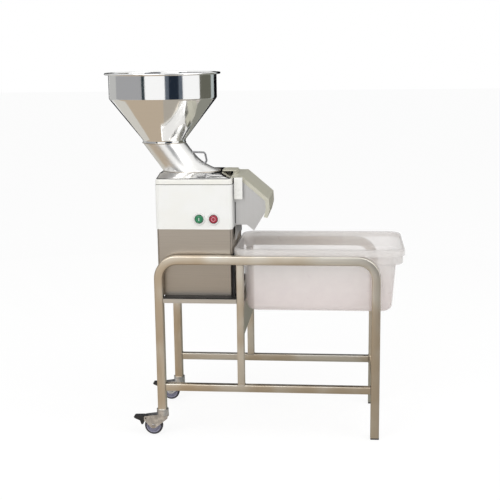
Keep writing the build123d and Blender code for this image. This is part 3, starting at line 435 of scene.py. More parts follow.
def tube_bead(name, centre, facing, size, corner):
    """Bead round the end of a square tube at a centre, in the plane that faces an axis."""
    ring = round_outline(size / 2, size / 2, corner, 4)[0]
    spot = np.zeros((len(ring), 3))
    first, second = ((1, 2), (2, 0), (0, 1))["XYZ".index(facing)]
    spot[:, first], spot[:, second] = ring[:, 0], ring[:, 1]
    path = fine(spot + np.asarray(centre, float), 0.0012)
    piece = bead(name, path, np.eye(3)["XYZ".index(facing)], 0.0019)


for side_name in ("front", "rear"):
    low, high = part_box(side_name + "_lower_rail")
    middle = (low[1] + high[1]) / 2, (low[2] + high[2]) / 2
    tube_bead(side_name + "_rail_weld_left", (low[0], *middle), "X", slim_size, slim_corner)
    tube_bead(side_name + "_rail_weld_right", (high[0], *middle), "X", slim_size, slim_corner)
    low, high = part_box(side_name + "_mid_leg")
    middle = (low[0] + high[0]) / 2, (low[1] + high[1]) / 2
    tube_bead(side_name + "_leg_weld_low", (*middle, low[2]), "Z", slim_size, slim_corner)
    tube_bead(side_name + "_leg_weld_high", (*middle, high[2]), "Z", slim_size, slim_corner)

# Tray and apron
# Folded stainless sheet: a tray that the machine stands on, and a deep channel welded under it
# between the middle legs. Both are ground along their length.
tray_sheet = brushed("tray_sheet", (0.72, 0.70, 0.66), 0.33, "X")
dress(tray_sheet, "tray")
dress(brushed("apron_sheet", (0.66, 0.63, 0.57), 0.36, "Y"), "apron")

# Mat
# A black rubber mat lies on the tray, with an upstand between the base and the middle legs.
# Its face has a fine moulded pebble and a little pale dust.
rubber = Finish("mat_rubber", Roughness=0.62)
pebble = rubber.node("ShaderNodeTexVoronoi", "Distance", Vector=rubber.place, Scale=420.0)
dust = rubber.noise(24.0, 4.0)
rubber.set(
    Base_Color=rubber.mix(
        rubber.soften(dust, 0.45, 0.75), (0.008, 0.008, 0.009, 1.0), (0.035, 0.033, 0.031, 1.0)
    ),
    Roughness=dust * 0.2 + 0.5,
)
rubber.bump(pebble, 0.0003)
dress(rubber, "tray_mat")

# Glides
# Black plastic glides are pressed into the right legs, and their soles are ground dull.
glide = Finish("glide_plastic")
grit = glide.noise(300.0, 4.0)
height = glide.axis("Z")
glide.set(
    Base_Color=glide.mix(
        glide.soften(height + grit * 0.004, 0.002, 0.006),
        (0.16, 0.15, 0.14, 1.0),
        (0.03, 0.03, 0.032, 1.0),
    ),
    Roughness=grit * 0.25 + 0.4,
)
glide.bump(grit, 0.0001)
dress(glide, "leg_glides")

# Casters
# A ball race under each left leg carries a pressed, zinc-plated fork with a dark rubber tyre on
# a lavender-grey plastic hub. The wheel turns on a bolt, and a black foot pedal brakes it.
zinc = Finish("zinc_plate", Metallic=0.9)
bloom = zinc.noise(60.0, 4.0, 0.6)
zinc.set(
    Base_Color=zinc.mix(
        zinc.soften(bloom, 0.35, 0.7), (0.52, 0.53, 0.55, 1.0), (0.84, 0.84, 0.84, 1.0)
    ),
    Roughness=bloom * 0.25 + 0.2,
)
zinc.bump(bloom, 0.0001)
dress(zinc, "front_caster_fork", "rear_caster_fork", "caster_sockets")
bolt = Finish("bolt_steel", Metallic=1.0)
turning = bolt.noise(1.0, 3.0, 0.6, bolt.scaled(900.0, 60.0, 900.0))
bolt.set(
    Base_Color=bolt.mix(turning, (0.42, 0.42, 0.43, 1.0), (0.70, 0.70, 0.70, 1.0)),
    Roughness=turning * 0.2 + 0.2,
)
bolt.bump(turning, 0.00003)
dress(bolt, "front_caster_axle", "rear_caster_axle")
pedal = Finish("pedal_plastic")
pedal_grain = pedal.noise(500.0, 3.0)
pedal.set(
    Base_Color=pedal.mix(pedal_grain, (0.010, 0.010, 0.011, 1.0), (0.035, 0.035, 0.037, 1.0)),
    Roughness=pedal_grain * 0.2 + 0.35,
)
pedal.bump(pedal_grain, 0.00012)
dress(pedal, "front_brake_pedal", "rear_brake_pedal")


def turned(profile, centre, facing="Z", steps=64):
    """Profile of (radius, height) turned round an axis through the centre: r cos, r sin, height.

    Facing X, Y or Z gives the axis along which height is laid.
    """
    angle = np.linspace(0, 2 * np.pi, steps + 1)[:-1]
    radius, height = profile[:, :1], profile[:, 1:]
    level = np.broadcast_to(height, (len(profile), steps))
    local = np.stack([radius * np.cos(angle), radius * np.sin(angle), level], axis=-1)
    order = {"Z": (0, 1, 2), "X": (2, 0, 1), "Y": (1, 2, 0)}[facing]
    return local[..., order] + np.asarray(centre, float)


tyre_rubber = Finish("tyre_rubber")
scuff = tyre_rubber.noise(90.0, 4.0)
tyre_rubber.set(
    Base_Color=tyre_rubber.mix(
        tyre_rubber.soften(scuff, 0.4, 0.7), (0.030, 0.030, 0.040, 1.0), (0.065, 0.062, 0.075, 1.0)
    ),
    Roughness=scuff * 0.25 + 0.45,
)
tyre_rubber.bump(scuff, 0.0002)
hub_plastic = Finish("hub_plastic")
hub_cloud = hub_plastic.noise(140.0, 3.0)
hub_plastic.set(
    Base_Color=hub_plastic.mix(hub_cloud, (0.24, 0.24, 0.32, 1.0), (0.36, 0.35, 0.45, 1.0)),
    Roughness=hub_cloud * 0.2 + 0.35,
)
hub_plastic.bump(hub_cloud, 0.00008)
wheel_radius, wheel_half, seat_radius = 0.0325, 0.010, 0.0255
for side_name in ("front", "rear"):
    low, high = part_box(side_name + "_tyre")
    wheel_centre = [float(a + b) / 2 for a, b in zip(low, high)]
    tread = bent(
        [
            (seat_radius, -wheel_half),
            (wheel_radius - 0.0030, -wheel_half),
            (wheel_radius, -wheel_half + 0.0045),
            (wheel_radius, wheel_half - 0.0045),
            (wheel_radius - 0.0030, wheel_half),
            (seat_radius, wheel_half),
        ],
        (0.0012, 0.0035, 0.0035, 0.0012),
        6,
    )
    tyre_grid = turned(tread, wheel_centre, "Y", 72)
    piece = skin(side_name + "_rubber_tyre", tyre_grid, around=True, along=True)
    piece.data.materials.append(tyre_rubber.material)
    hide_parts(side_name + "_tyre")
    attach(piece, side_name + "_wheel")
    web = bent(
        [
            (0.0041, -wheel_half),
            (0.0085, -wheel_half),
            (0.0095, -wheel_half + 0.0055),
            (0.0205, -wheel_half + 0.0060),
            (0.0218, -wheel_half + 0.0004),
            (seat_radius, -wheel_half + 0.0004),
            (seat_radius, wheel_half - 0.0004),
            (0.0218, wheel_half - 0.0004),
            (0.0205, wheel_half - 0.0060),
            (0.0095, wheel_half - 0.0055),
            (0.0085, wheel_half),
            (0.0041, wheel_half),
        ],
        (0.0006,) * 10,
        3,
    )
    web_grid = turned(web, wheel_centre, "Y", 72)
    piece = skin(side_name + "_wheel_web", web_grid, around=True, along=True)
    piece.data.materials.append(hub_plastic.material)
    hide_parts(side_name + "_wheel_hub")
    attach(piece, side_name + "_wheel")

# Collecting bin
# A deep food box in translucent polypropylene, injection moulded with a step under its band and
# a rim turned down all round, by which it hangs on the two top rails. The walls let light through.
bin_low, bin_high = (np.array(corner, float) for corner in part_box("bin"))
bin_middle = (bin_low + bin_high) / 2
bin_half = (bin_high - bin_low) / 2
bin_foot, bin_top = bin_low[2], bin_high[2]
bin_wall, band_inset, body_inset, taper = 0.003, 0.004, 0.025, 0.015
step_height = bin_top - 0.055
body_x, body_y = bin_half[0] - body_inset, 0.164
band_x, band_y = bin_half[0] - band_inset, 0.167
floor_radius = 0.024
step_taper = taper * 0.055 / 0.226
rim_foot = bin_top - 0.021
rim_x, rim_y, lip_inner = bin_half[0], bin_half[1], bin_wall
neck_x, neck_y = body_x - step_taper, body_y - step_taper
throat_x, throat_y = band_x - bin_wall, band_y - bin_wall
skirt_x, skirt_y = rim_x - lip_inner, rim_y - lip_inner
ceiling, ledge = bin_top - bin_wall - 0.0006, step_height + bin_wall
turn = np.linspace(0, np.pi / 2, 9)


def floor_levels(thickness):
    """Levels of the floor's fillet: a quarter circle from the flat floor up to the wall."""
    radius = floor_radius - thickness
    back = radius * (1 - np.sin(turn))
    return np.stack(
        [
            body_x - taper - thickness - back,
            body_y - taper - thickness - back,
            0.042 - taper * 0.3 - thickness - back * 0.6,
            bin_foot + thickness + radius * (1 - np.cos(turn)),
        ],
        axis=-1,
    )


# Each row is one level of the wall: half length, half depth, corner radius, height. The rows go
# up the outside over the step to the band, round the turned-down rim, and down the inside.
sides = np.array(
    [
        (neck_x, neck_y, 0.0420, step_height - 0.0030),
        (neck_x + 0.0006, neck_y + 0.0006, 0.0425, step_height - 0.0009),
        (neck_x + 0.0030, neck_y + 0.0020, 0.0430, step_height),
        (band_x - 0.0035, band_y - 0.0022, 0.0460, step_height),
        (band_x - 0.0014, band_y - 0.0012, 0.0470, step_height + 0.0008),
        (band_x - 0.0009, band_y - 0.0009, 0.0480, step_height + 0.0030),
        (band_x - 0.0003, band_y - 0.0003, 0.0480, ceiling),
        (skirt_x, skirt_y, 0.0490, ceiling),
        (skirt_x, skirt_y, 0.0490, rim_foot + 0.0006),
        (skirt_x + 0.0007, skirt_y + 0.0007, 0.0500, rim_foot),
        (rim_x - 0.0007, rim_y - 0.0007, 0.0515, rim_foot),
        (rim_x, rim_y, 0.0520, rim_foot + 0.0008),
        (rim_x, rim_y, 0.0520, bin_top - 0.0035),
        (rim_x - 0.0010, rim_y - 0.0010, 0.0510, bin_top - 0.0012),
        (rim_x - 0.0034, rim_y - 0.0034, 0.0490, bin_top),
        (throat_x + 0.0020, throat_y + 0.0020, 0.0470, bin_top),
        (throat_x + 0.0005, throat_y + 0.0005, 0.0455, bin_top - 0.0008),
        (throat_x, throat_y, 0.0450, bin_top - 0.0028),
        (throat_x - 0.0009, throat_y - 0.0009, 0.0450, ledge + 0.0015),
        (throat_x - 0.0024, throat_y - 0.0018, 0.0440, ledge),
        (neck_x - bin_wall + 0.0026, neck_y - bin_wall + 0.0014, 0.0400, ledge),
        (neck_x - bin_wall, neck_y - bin_wall, 0.0390, ledge - 0.0020),
    ]
)
levels = np.concatenate([floor_levels(0.0), sides, floor_levels(bin_wall)[::-1]])
outline = round_outline(levels[:, 0], levels[:, 1], levels[:, 2], 12)
height = np.broadcast_to(levels[:, 3:, None], outline.shape[:2] + (1,))
wall = np.concatenate([outline, height], axis=-1)
wall[..., :2] += bin_middle[:2]
box_wall = skin("bin_wall", wall, around=True, ends=(True, True), crease=50.0)
milky = Finish("bin_polypropylene", IOR=1.49)
haze = milky.noise(11.0, 3.0)
swirl = milky.noise(30.0, 2.0, 0.5, distortion=0.4)
# Painted shade: the wall is darker and pinker towards its foot, and lightest at the rim.
painted_shade_rise = milky.soften(milky.axis("Z"), bin_foot, bin_top)
milky.set(
    Base_Color=milky.mix(painted_shade_rise, (0.84, 0.75, 0.73, 1.0), (0.86, 0.83, 0.81, 1.0)),
    Roughness=swirl * 0.12 + 0.24,
    Alpha=haze * 0.08 + swirl * 0.04 + 0.32,
)
milky.bump(swirl, 0.00003)
box_wall.data.materials.append(milky.material)
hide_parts("bin")
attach(box_wall, "collecting_bin")

# Base casing
# A folded and welded box of 1.5 mm stainless that hides the motor, brushed across its faces,
# with vent slots and the cable gland at the rear.
dress(brushed("base_sheet", (0.50, 0.455, 0.40), 0.34, "X", 0.10), "base_casing")
moulded = Finish("black_plastic")
fleck = moulded.noise(380.0, 3.0)
moulded.set(
    Base_Color=moulded.mix(fleck, (0.012, 0.012, 0.013, 1.0), (0.040, 0.040, 0.042, 1.0)),
    Roughness=fleck * 0.2 + 0.35,
)
moulded.bump(fleck, 0.0001)
dress(moulded, "cable_gland", "motor_fan", "disc_nut", "lid_switch")

# Head casing
# An aluminium casting with a baked white enamel, closed by the lid and bolted on the base.


def enamel(name, tint, roughness=0.32):
    """Baked enamel on a casting: faint orange peel and a slight warm drift in the colour."""
    finish = Finish(name, Coat_Weight=0.25, Coat_Roughness=0.12)
    cloud = finish.noise(9.0, 2.0)
    peel = finish.noise(260.0, 2.0)
    warm = (tint[0] * 0.985, tint[1] * 0.98, tint[2] * 0.955, 1.0)
    finish.set(
        Base_Color=finish.mix(finish.soften(cloud, 0.35, 0.65), warm, tint + (1.0,)),
        Roughness=peel * 0.08 + (roughness - 0.04),
    )
    finish.bump(peel, 0.00006)
    return finish


dress(enamel("head_enamel", (0.88, 0.88, 0.86)), "head_casing")

# Push buttons
# Two 27 mm mushroom caps in white bezels: green with a bar to start, red with a ring to stop.
# Caps and bezels are moulded plastic, and the marks are let into the caps and filled pale.
button_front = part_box("start_button")[0][1]


def gloss(name, tint, spread=0.12, roughness=0.22):
    """Moulded gloss plastic: the tint drifting a little, under a faint flow pattern."""
    finish = Finish(name, Coat_Weight=0.2, Coat_Roughness=0.1)
    flow = finish.noise(160.0, 3.0, distortion=0.4)
    low_tint = tuple(c * (1 - spread) for c in tint) + (1.0,)
    high_tint = tuple(min(1.0, c * (1 + spread)) for c in tint) + (1.0,)
    finish.set(
        Base_Color=finish.mix(flow, low_tint, high_tint),
        Roughness=flow * 0.12 + (roughness - 0.06),
    )
    finish.bump(flow, 0.00005)
    return finish


green_cap = gloss("start_green", (0.015, 0.20, 0.085))
red_cap = gloss("stop_red", (0.33, 0.012, 0.035))
mark_white = gloss("mark_white", (0.62, 0.72, 0.66))
mark_pink = gloss("mark_pink", (0.72, 0.36, 0.40))
bezel_white = gloss("bezel_white", (0.74, 0.74, 0.72), 0.04)
cap_radius, cap_depth = 0.0137, 0.0240
for word, finish in (("start", green_cap), ("stop", red_cap)):
    low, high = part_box(word + "_button")
    centre_x, centre_z = float(low[0] + high[0]) / 2, float(low[2] + high[2]) / 2
    # Height runs towards +Y here, so the crown of the cap is the low end of the profile.
    crown = bent(
        [
            (0.0012, 0.0005),
            (cap_radius - 0.0045, 0.0003),
            (cap_radius - 0.0035, 0.0),
            (cap_radius, 0.0022),
            (cap_radius, cap_depth - 0.002),
            (cap_radius + 0.0023, cap_depth - 0.002),
            (cap_radius + 0.0023, cap_depth),
            (0.0012, cap_depth),
        ],
        (0.001, 0.0012, 0.0018, 0.0, 0.0, 0.0),
        6,
    )
    spot = (centre_x, button_front, centre_z)
    cap = skin(word + "_cap", turned(crown, spot, "Y", 64), around=True, ends=(True, True))
    cap.data.materials.append(finish.material)
    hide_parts(word + "_button")
    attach(cap, word)
    if word == "start":
        bar = round_outline((0.0014, 0.0013), (0.0058, 0.0054), (0.0010, 0.0009), 4)
        face = np.broadcast_to(button_front + np.array([[0.0012], [-0.0001]]), bar.shape[:2])
        bar_grid = np.stack([centre_x + bar[..., 0], face, centre_z + bar[..., 1]], axis=-1)
        mark = skin("start_bar", bar_grid, around=True, ends=(True, True))
        mark.data.materials.append(mark_white.material)
    else:
        angle = np.linspace(0, 2 * np.pi, 11)[:-1]
        section = np.stack([0.0011 * np.cos(angle), 0.0010 * np.sin(angle)], axis=-1)
        ring_grid = turned(section + np.array([0.0066, 0.0009]), spot, "Y", 48)
        mark = skin("stop_ring", ring_grid, around=True, along=True)
        mark.data.materials.append(mark_pink.material)
    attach(mark, word)
dress(bezel_white, "button_bezels")

# Lid, its seal, hinge and latch
# The lid is a white enamelled casting on a grey rubber seal. It swings on a steel pin in a cast
# bracket at the rear, and a white moulded latch at the front of the chute holds it.
dress(enamel("lid_enamel", (0.87, 0.86, 0.815)), "lid")
seal = Finish("seal_rubber")
seal_grain = seal.noise(240.0, 3.0)
seal.set(
    Base_Color=seal.mix(seal_grain, (0.02, 0.02, 0.021, 1.0), (0.07, 0.07, 0.07, 1.0)),
    Roughness=seal_grain * 0.2 + 0.5,
)
seal.bump(seal_grain, 0.0001)
dress(seal, "lid_seal", "shaft_seal")
cast = Finish("cast_alloy", Metallic=1.0)
sand = cast.noise(420.0, 4.0, 0.6)
stain = cast.noise(14.0, 3.0)
cast.set(
    Base_Color=cast.mix(stain, (0.46, 0.46, 0.47, 1.0), (0.66, 0.66, 0.66, 1.0)),
    Roughness=sand * 0.2 + stain * 0.1 + 0.3,
)
cast.bump(sand, 0.00025)
dress(cast, "hinge_brackets", "disc_chamber", "gearbox_housing", "end_shields", "ejector_disc")
dress(bolt, "hinge_pin", "latch_pin", "drive_shaft", "rotor_shaft", "drive_bearings", "motor_bearings")
dress(gloss("latch_white", (0.85, 0.845, 0.81), 0.04, 0.28), "lid_latch")

# Pan
# A polished stainless pressing on the lid, bevelled all round, with the feed hole in its deck.
pan_low, pan_high = (np.array(corner, float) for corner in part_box("feed_pan"))
feed_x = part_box("lid")[0][0] + 0.117
pan_foot_x, pan_foot_half = (pan_low[0] + pan_high[0]) / 2, (pan_high[0] - pan_low[0]) / 2
pan_foot_depth, deck_half, deck_depth = 0.154, 0.107, 0.088
deck_x = pan_low[0] + deck_half
hole_radius = 0.080
# Each row is one level: centre, half length, half depth, corner radius, height.
pan_foot, pan_deck = pan_low[2], pan_high[2]
pan_levels = np.array(
    [
        (pan_foot_x, pan_foot_half, pan_foot_depth, 0.0100, pan_foot),
        (pan_foot_x, pan_foot_half, pan_foot_depth, 0.0100, pan_foot + 0.0017),
        (pan_foot_x - 0.0003, pan_foot_half - 0.0004, pan_foot_depth - 0.0015, 0.0098, pan_foot + 0.0023),
        (pan_foot_x - 0.0015, pan_foot_half - 0.0016, pan_foot_depth - 0.0060, 0.0098, pan_foot + 0.0031),
        (deck_x + 0.0022, deck_half + 0.0021, deck_depth + 0.0080, 0.0102, pan_deck - 0.0014),
        (deck_x + 0.0008, deck_half + 0.0006, deck_depth + 0.0022, 0.0100, pan_deck - 0.0003),
        (deck_x, deck_half - 0.0004, deck_depth - 0.0030, 0.0100, pan_deck),
    ]
)
outline = round_outline(pan_levels[:, 1], pan_levels[:, 2], pan_levels[:, 3], 8)
outline[..., 0] += pan_levels[:, :1]
columns = outline.shape[1]
angle = 2 * np.pi * (np.arange(columns) + 0.5) / columns
hole = np.stack([feed_x + hole_radius * np.cos(angle), hole_radius * np.sin(angle)], axis=-1)
outline = np.concatenate([outline, hole[None], hole[None]])
pan_z = np.concatenate([pan_levels[:, 4], [pan_deck, pan_foot]])
height = np.broadcast_to(pan_z[:, None, None], outline.shape[:2] + (1,))
pan_grid = np.concatenate([outline, height], axis=-1)
pan = skin("pan_pressing", pan_grid, around=True, along=True, crease=25.0)


def polished(name, tint, roughness, wave, depth):
    """Polished sheet: broad planishing waves that bend its reflections, under fine buffing lines."""
    finish = Finish(name, Metallic=1.0)
    swell = finish.noise(wave, 2.0, 0.4)
    buff = finish.noise(1.0, 3.0, 0.6, finish.scaled(30.0, 30.0, 900.0))
    dark = tuple(c * 0.94 for c in tint) + (1.0,)
    finish.set(
        Base_Color=finish.mix(buff, dark, tint + (1.0,)),
        Roughness=buff * 0.05 + swell * 0.04 + roughness - 0.045,
    )
    finish.bump(swell + buff * 0.004, depth)
    return finish


pan.data.materials.append(polished("pan_polish", (0.86, 0.85, 0.83), 0.12, 26.0, 0.0010).material)
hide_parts("feed_pan")
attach(pan, "lid_assembly")

# Seal round the pan
# A thin bead of black rubber is pressed between the pan's foot and the lid.
seal_path = np.zeros((9 * 4, 3))
seal_path[:, :2] = round_outline(pan_foot_half, pan_foot_depth, 0.010, 8)[0]
seal_path = fine(seal_path + np.array([pan_foot_x, 0, pan_foot + 0.0010]), 0.004)
pan_seal = bead("pan_seal", seal_path, (0, 0, 1), 0.0013, ripple=0.0, finish=seal, body="lid_assembly")

# Elbow
# A slanting tube of satin stainless sheet, welded at both ends: round under the funnel, and
# flared to the right at the foot, where it stands on the pan.
funnel_axis = -0.3215
throat_radius, sheet = 0.076, 0.002
elbow_low, elbow_high = (float(corner[2]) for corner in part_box("feed_elbow"))
elbow_height = elbow_high - elbow_low


def elbow_skin(inset, rise):
    """Level ellipses: the centre slides by 72 mm a height, and the right side flares by a power."""
    drop = (1 - rise)[:, None]
    flare = drop**4.6
    left = funnel_axis - throat_radius + 0.072 * drop
    right = funnel_axis + throat_radius + 0.072 * drop + 0.052 * flare
    depth = throat_radius + 0.008 * flare
    angle = np.linspace(0, 2 * np.pi, 97)[:-1]
    x = (left + right) / 2 + ((right - left) / 2 - inset) * np.cos(angle)
    y = (depth - inset) * np.sin(angle)
    z = np.broadcast_to(elbow_low + elbow_height * rise[:, None], x.shape)
    return np.stack([x, y, z], axis=-1)


rise = np.linspace(0, 1, 40) ** 1.3
elbow = skin(
    "elbow_shell",
    np.concatenate([elbow_skin(0.0, rise), elbow_skin(sheet, rise)[::-1]]),
    around=True,
    along=True,
    crease=50.0,
)
satin = Finish("elbow_satin", Metallic=1.0)
satin_lines = satin.noise(1.0, 4.0, 0.6, satin.scaled(60.0, 60.0, 500.0))
satin_swell = satin.noise(16.0, 2.0, 0.4)
satin.set(
    Base_Color=satin.mix(satin_lines, (0.84, 0.83, 0.81, 1.0), (0.95, 0.945, 0.93, 1.0)),
    Roughness=satin_lines * 0.12 + satin_swell * 0.08 + 0.21,
)
satin.bump(satin_swell + satin_lines * 0.01, 0.0008)
elbow.data.materials.append(satin.material)
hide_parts("feed_elbow")
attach(elbow, "lid_assembly")
throat_path = fine(elbow_skin(-0.0004, np.ones(1))[0], 0.0012)
throat_weld = bead("throat_weld", throat_path, (0, 0, 1), 0.0017, body="lid_assembly")
foot_path = fine(elbow_skin(-0.0004, np.zeros(1))[0] + np.array([0, 0, 0.0006]), 0.0012)
foot_weld = bead("foot_weld", foot_path, (0, 0, 1), 0.0014, body="lid_assembly")

# Funnel
# Spun from 2 mm stainless and mirror polished: a straight collar, a cone, a rounded turn into
# the upright band, and a flat flange rolled outwards as the lip.
funnel_top = float(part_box("funnel")[1][2])
throat_top = elbow_high
cone_foot, band_foot = throat_top + 0.010, funnel_top - 0.089
band_radius, lip_reach, lip_height = 0.190, 0.204, 0.007
slant = 0.00069
funnel_line = bent(
    [
        (throat_radius, throat_top),
        (throat_radius, cone_foot),
        (band_radius, band_foot),
        (band_radius, funnel_top - lip_height),
        (lip_reach, funnel_top - lip_height),
        (lip_reach, funnel_top),
        (band_radius - sheet, funnel_top),
        (band_radius - sheet, band_foot + slant),
        (throat_radius - sheet, cone_foot + slant),
        (throat_radius - sheet, throat_top),
    ],
    (0.012, 0.012, 0.0015, 0.00345, 0.00345, 0.0040, 0.012, 0.012),
    10,
)
funnel_grid = turned(funnel_line, (funnel_axis, 0, 0), "Z", 160)
funnel = skin("funnel_spinning", funnel_grid, around=True, along=True)
mirror = Finish("funnel_mirror", Metallic=1.0)
spin = mirror.noise(1.0, 3.0, 0.6, mirror.scaled(3.0, 3.0, 900.0))
dent = mirror.noise(9.0, 2.0, 0.4)
mirror.set(
    Base_Color=mirror.mix(spin, (0.92, 0.92, 0.915, 1.0), (0.97, 0.97, 0.965, 1.0)),
    Roughness=spin * 0.05 + dent * 0.05 + 0.045,
)
mirror.bump(dent + spin * 0.002, 0.0005)
funnel.data.materials.append(mirror.material)
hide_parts("funnel")
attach(funnel, "lid_assembly")

# Lift handle
# A bail of 7 mm wire, bent in one plane, blued dark and welded to the elbow's right side.
handle_low, handle_high = (np.array(corner, float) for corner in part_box("lift_handle"))
wire = 0.0035
handle_top = handle_high[2] - wire
elbow_side = float(funnel_axis + throat_radius + 0.072 * 0.35 + 0.052 * 0.35**4.6)
handle_path = bent(
    [
        (elbow_side - wire, 0, handle_top),
        (elbow_side + 0.043, 0, handle_top - 0.002),
        (elbow_side + 0.050, 0, handle_top - 0.038),
        (elbow_side + 0.0257, 0, handle_top - 0.040),
    ],
    (0.009, 0.009),
    12,
)
angle = np.linspace(0, 2 * np.pi, 21)[:-1]
ring = wire * np.stack([np.cos(angle), np.sin(angle)], axis=-1)
handle = skin("handle_wire", carry(ring, handle_path, (0, 1, 0)), around=True, ends=(True, True), crease=60.0)
handle.data.materials.append(polished("handle_polish", (0.30, 0.30, 0.31), 0.18, 60.0, 0.0003).material)
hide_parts("lift_handle")
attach(handle, "lid_assembly")

# Outlet chute and hood
# The chute is bead-blasted stainless plate welded to a flange, open below over the bin. The
# hood is bent sheet, painted beige-grey, and lifts with the lid.
dress(brushed("chute_plate", (0.70, 0.705, 0.71), 0.44, "Z", 0.06), "outlet_chute")
dress(enamel("hood_paint", (0.56, 0.545, 0.455), 0.42), "hood")

# Dark strip at the chute's root
# A thin black strip lies in the corner between the flange and the front cheek, below the latch.
chute_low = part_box("outlet_chute")[0]
root_x, root_y = float(chute_low[0]) + 0.0055, -0.1104
root_line = straight((root_x, root_y, 0.752), (root_x, root_y, 0.826))
angle = np.linspace(0, 2 * np.pi, 13)[:-1]
ring = 0.0014 * np.stack([np.cos(angle), np.sin(angle) * 0.6], axis=-1)
root_strip = skin("chute_root_strip", carry(ring, root_line, (0, 1, 0)), around=True, ends=(True, True))
root_strip.data.materials.append(seal.material)
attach(root_strip, "stand")

# Discs, shaft, gears and motor inside
# The slicing disc and its blades are polished stainless. The gears are cut steel, oiled, and the
# motor has laminated cores, varnished copper windings and a black fan.
dress(polished("disc_polish", (0.76, 0.76, 0.76), 0.18, 40.0, 0.0003), "slicing_disc", "slicing_blades")
cut = brushed("gear_steel", (0.50, 0.50, 0.51), 0.30, "Z", 0.10)
dress(cut, "gear_wheel", "motor_pinion")
core = Finish("core_iron", Metallic=0.8)
lamination = core.noise(1.0, 2.0, 0.5, core.scaled(8.0, 8.0, 2000.0))
core.set(
    Base_Color=core.mix(lamination, (0.06, 0.06, 0.065, 1.0), (0.20, 0.20, 0.21, 1.0)),
    Roughness=lamination * 0.3 + 0.4,
)
core.bump(lamination, 0.0002)
dress(core, "rotor_core", "stator_core")
copper = Finish("winding_copper", Metallic=0.9)
strand = copper.noise(1.0, 3.0, 0.6, copper.scaled(250.0, 250.0, 1400.0))
copper.set(
    Base_Color=copper.mix(strand, (0.26, 0.09, 0.03, 1.0), (0.58, 0.26, 0.10, 1.0)),
    Roughness=strand * 0.3 + 0.25,
)
copper.bump(strand, 0.0004)
dress(copper, "stator_windings")

# Studio
# A plain pale floor under soft light. Curved screens and fans of tinted floor stand round the
# machine, as a photographer flags polished metal. Only reflections meet them.


def flat_fan(name, centre, radius, start, stop, height):
    """Stage piece: a level fan round a centre, between two azimuths from the front, to the right."""
    angle = np.radians(np.linspace(start, stop, 24))
    edge = np.stack(
        [centre + radius * np.sin(angle), -radius * np.cos(angle), np.full(24, height)], axis=-1
    )
    middle = np.broadcast_to([centre, 0.0, height], (24, 3))
    piece = skin(name, np.stack([middle, edge]))
    return piece


def only_reflected(piece, tint):
    """Gives a stage piece a plain glow that only reflections meet, so that it shades nothing."""
    piece.visible_camera = False
    piece.visible_diffuse = False
    piece.visible_shadow = False
    piece.visible_transmission = False
    card = bpy.data.materials.new(piece.name)
    card.use_nodes = True
    tree = card.node_tree
    tree.nodes.remove(tree.nodes["Principled BSDF"])
    lit = tree.nodes.new("ShaderNodeEmission")
    lit.inputs["Color"].default_value = tint + (1.0,)
    tree.links.new(lit.outputs[0], tree.nodes["Material Output"].inputs["Surface"])
    piece.data.materials.append(card)


def screen(name, start, stop, radius, tint, low=-0.5, high=2.6):
    """Curved screen round the funnel's axis: azimuths in degrees from the front, to the right."""
    angle = np.radians(np.linspace(start, stop, 24))
    foot = np.stack(
        [funnel_axis + radius * np.sin(angle), -radius * np.cos(angle), np.full(24, low)], axis=-1
    )
    piece = skin(name, np.stack([foot, foot + np.array([0, 0, high - low])]))
    only_reflected(piece, tint)


screen("silver_screen", -143, -104, 3.4, (0.50, 0.50, 0.49))
screen("grey_screen", -104, -34, 3.4, (0.36, 0.36, 0.37))
screen("teal_flag", -34, -27, 3.3, (0.02, 0.035, 0.04))
screen("slate_flag", 14, 51, 3.3, (0.11, 0.13, 0.16))
screen("navy_flag", 22, 42, 3.2, (0.015, 0.022, 0.035))
screen("olive_screen", 92, 131, 3.3, (0.125, 0.125, 0.10))
screen("pale_screen", 131, 146, 3.3, (0.42, 0.46, 0.46))
screen("black_screen", 146, 214, 3.3, (0.004, 0.004, 0.005))
sheet_height = 0.004
for name, start, stop, tint in (
    ("pale_sheet", -170, -104, (0.62, 0.60, 0.55)),
    ("beige_sheet", -104, 10, (0.485, 0.40, 0.305)),
    ("grey_sheet", 10, 75, (0.41, 0.375, 0.325)),
    ("olive_sheet", 75, 190, (0.25, 0.25, 0.215)),
):
    only_reflected(flat_fan(name, funnel_axis, 3.2, start, stop, sheet_height), tint)

reach = 30.0
corners = np.array([[(-reach, -reach, 0), (reach, -reach, 0)], [(-reach, reach, 0), (reach, reach, 0)]])
floor = skin("studio_floor", corners)
backdrop = Finish("studio_white", Roughness=0.9)
backdrop.set(Base_Color=(0.90, 0.90, 0.90, 1.0))
shown_rays = ("Is Camera Ray", "Is Glossy Ray", "Is Transmission Ray")
seen, also, through = (backdrop.node("ShaderNodeLightPath", kind) for kind in shown_rays)
white = backdrop.tree.nodes.new("ShaderNodeEmission")
white.inputs["Strength"].default_value = 1.06
blend = backdrop.tree.nodes.new("ShaderNodeMixShader")
output = backdrop.tree.nodes["Material Output"]
backdrop.tree.links.new(((seen + also + through) * 0.8).socket, blend.inputs[0])
backdrop.tree.links.new(backdrop.shader.outputs[0], blend.inputs[1])
backdrop.tree.links.new(white.outputs[0], blend.inputs[2])
backdrop.tree.links.new(blend.outputs[0], output.inputs["Surface"])
floor.data.materials.append(backdrop.material)

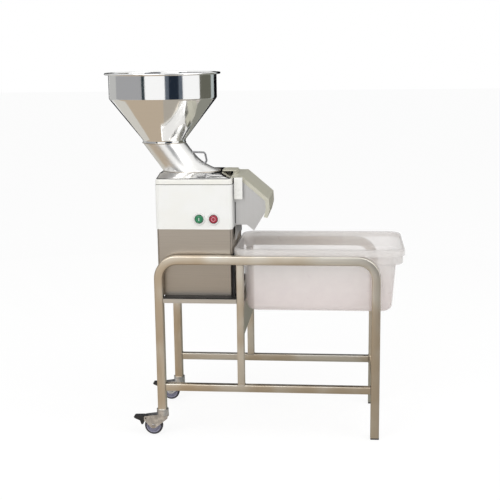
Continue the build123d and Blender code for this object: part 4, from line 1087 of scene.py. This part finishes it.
world = bpy.data.worlds.new("studio_world")
bpy.context.scene.world = world
world.use_nodes = True
sky = world.node_tree
ambient = sky.nodes["Background"]
ambient.inputs["Color"].default_value = (1, 1, 1, 1)
ambient.inputs["Strength"].default_value = 0.64
shown = sky.nodes.new("ShaderNodeBackground")
shown.inputs["Color"].default_value = (1, 1, 1, 1)
shown.inputs["Strength"].default_value = 1.0
path = sky.nodes.new("ShaderNodeLightPath")
seen, also, through = (Shade(sky, path.outputs[kind]) for kind in shown_rays)
choice = sky.nodes.new("ShaderNodeMixShader")
sky.links.new((seen + also + through).socket, choice.inputs[0])
sky.links.new(ambient.outputs[0], choice.inputs[1])
sky.links.new(shown.outputs[0], choice.inputs[2])
sky.links.new(choice.outputs[0], sky.nodes["World Output"].inputs["Surface"])

focal_pixels = 1012.85
yaw, pitch, roll = (math.radians(a) for a in (-5.4433, -11.2408, -0.6996))
ahead = Vector((math.sin(yaw) * math.cos(pitch), math.cos(yaw) * math.cos(pitch), math.sin(pitch)))
level = Vector((math.cos(yaw), -math.sin(yaw), 0.0))
above = level.cross(ahead)
right = level * math.cos(roll) + above * math.sin(roll)
upward = above * math.cos(roll) - level * math.sin(roll)
camera_data = bpy.data.cameras.new("camera")
camera_data.sensor_width = 36.0
camera_data.lens = focal_pixels / 500 * camera_data.sensor_width
camera = bpy.data.objects.new("camera", camera_data)
bpy.context.scene.collection.objects.link(camera)
turn = Matrix((right, upward, -ahead)).transposed().to_4x4()
camera.matrix_world = Matrix.Translation((0.32006, -3.56893, 1.34766)) @ turn
bpy.context.scene.camera = camera
bpy.context.scene.view_settings.view_transform = "Standard"

for name, place, power in (
    ("key_panel", (-1.6, -2.6, 3.0), 45),
    ("fill_panel", (2.4, -1.3, 2.9), 38),
):
    panel = bpy.data.lights.new(name, "AREA")
    panel.energy, panel.size = power, 2.5
    lamp = bpy.data.objects.new(name, panel)
    lamp.location = place
    lamp.rotation_euler = (Vector((0, 0, 0.7)) - lamp.location).to_track_quat("-Z", "Y").to_euler()
    bpy.context.scene.collection.objects.link(lamp)
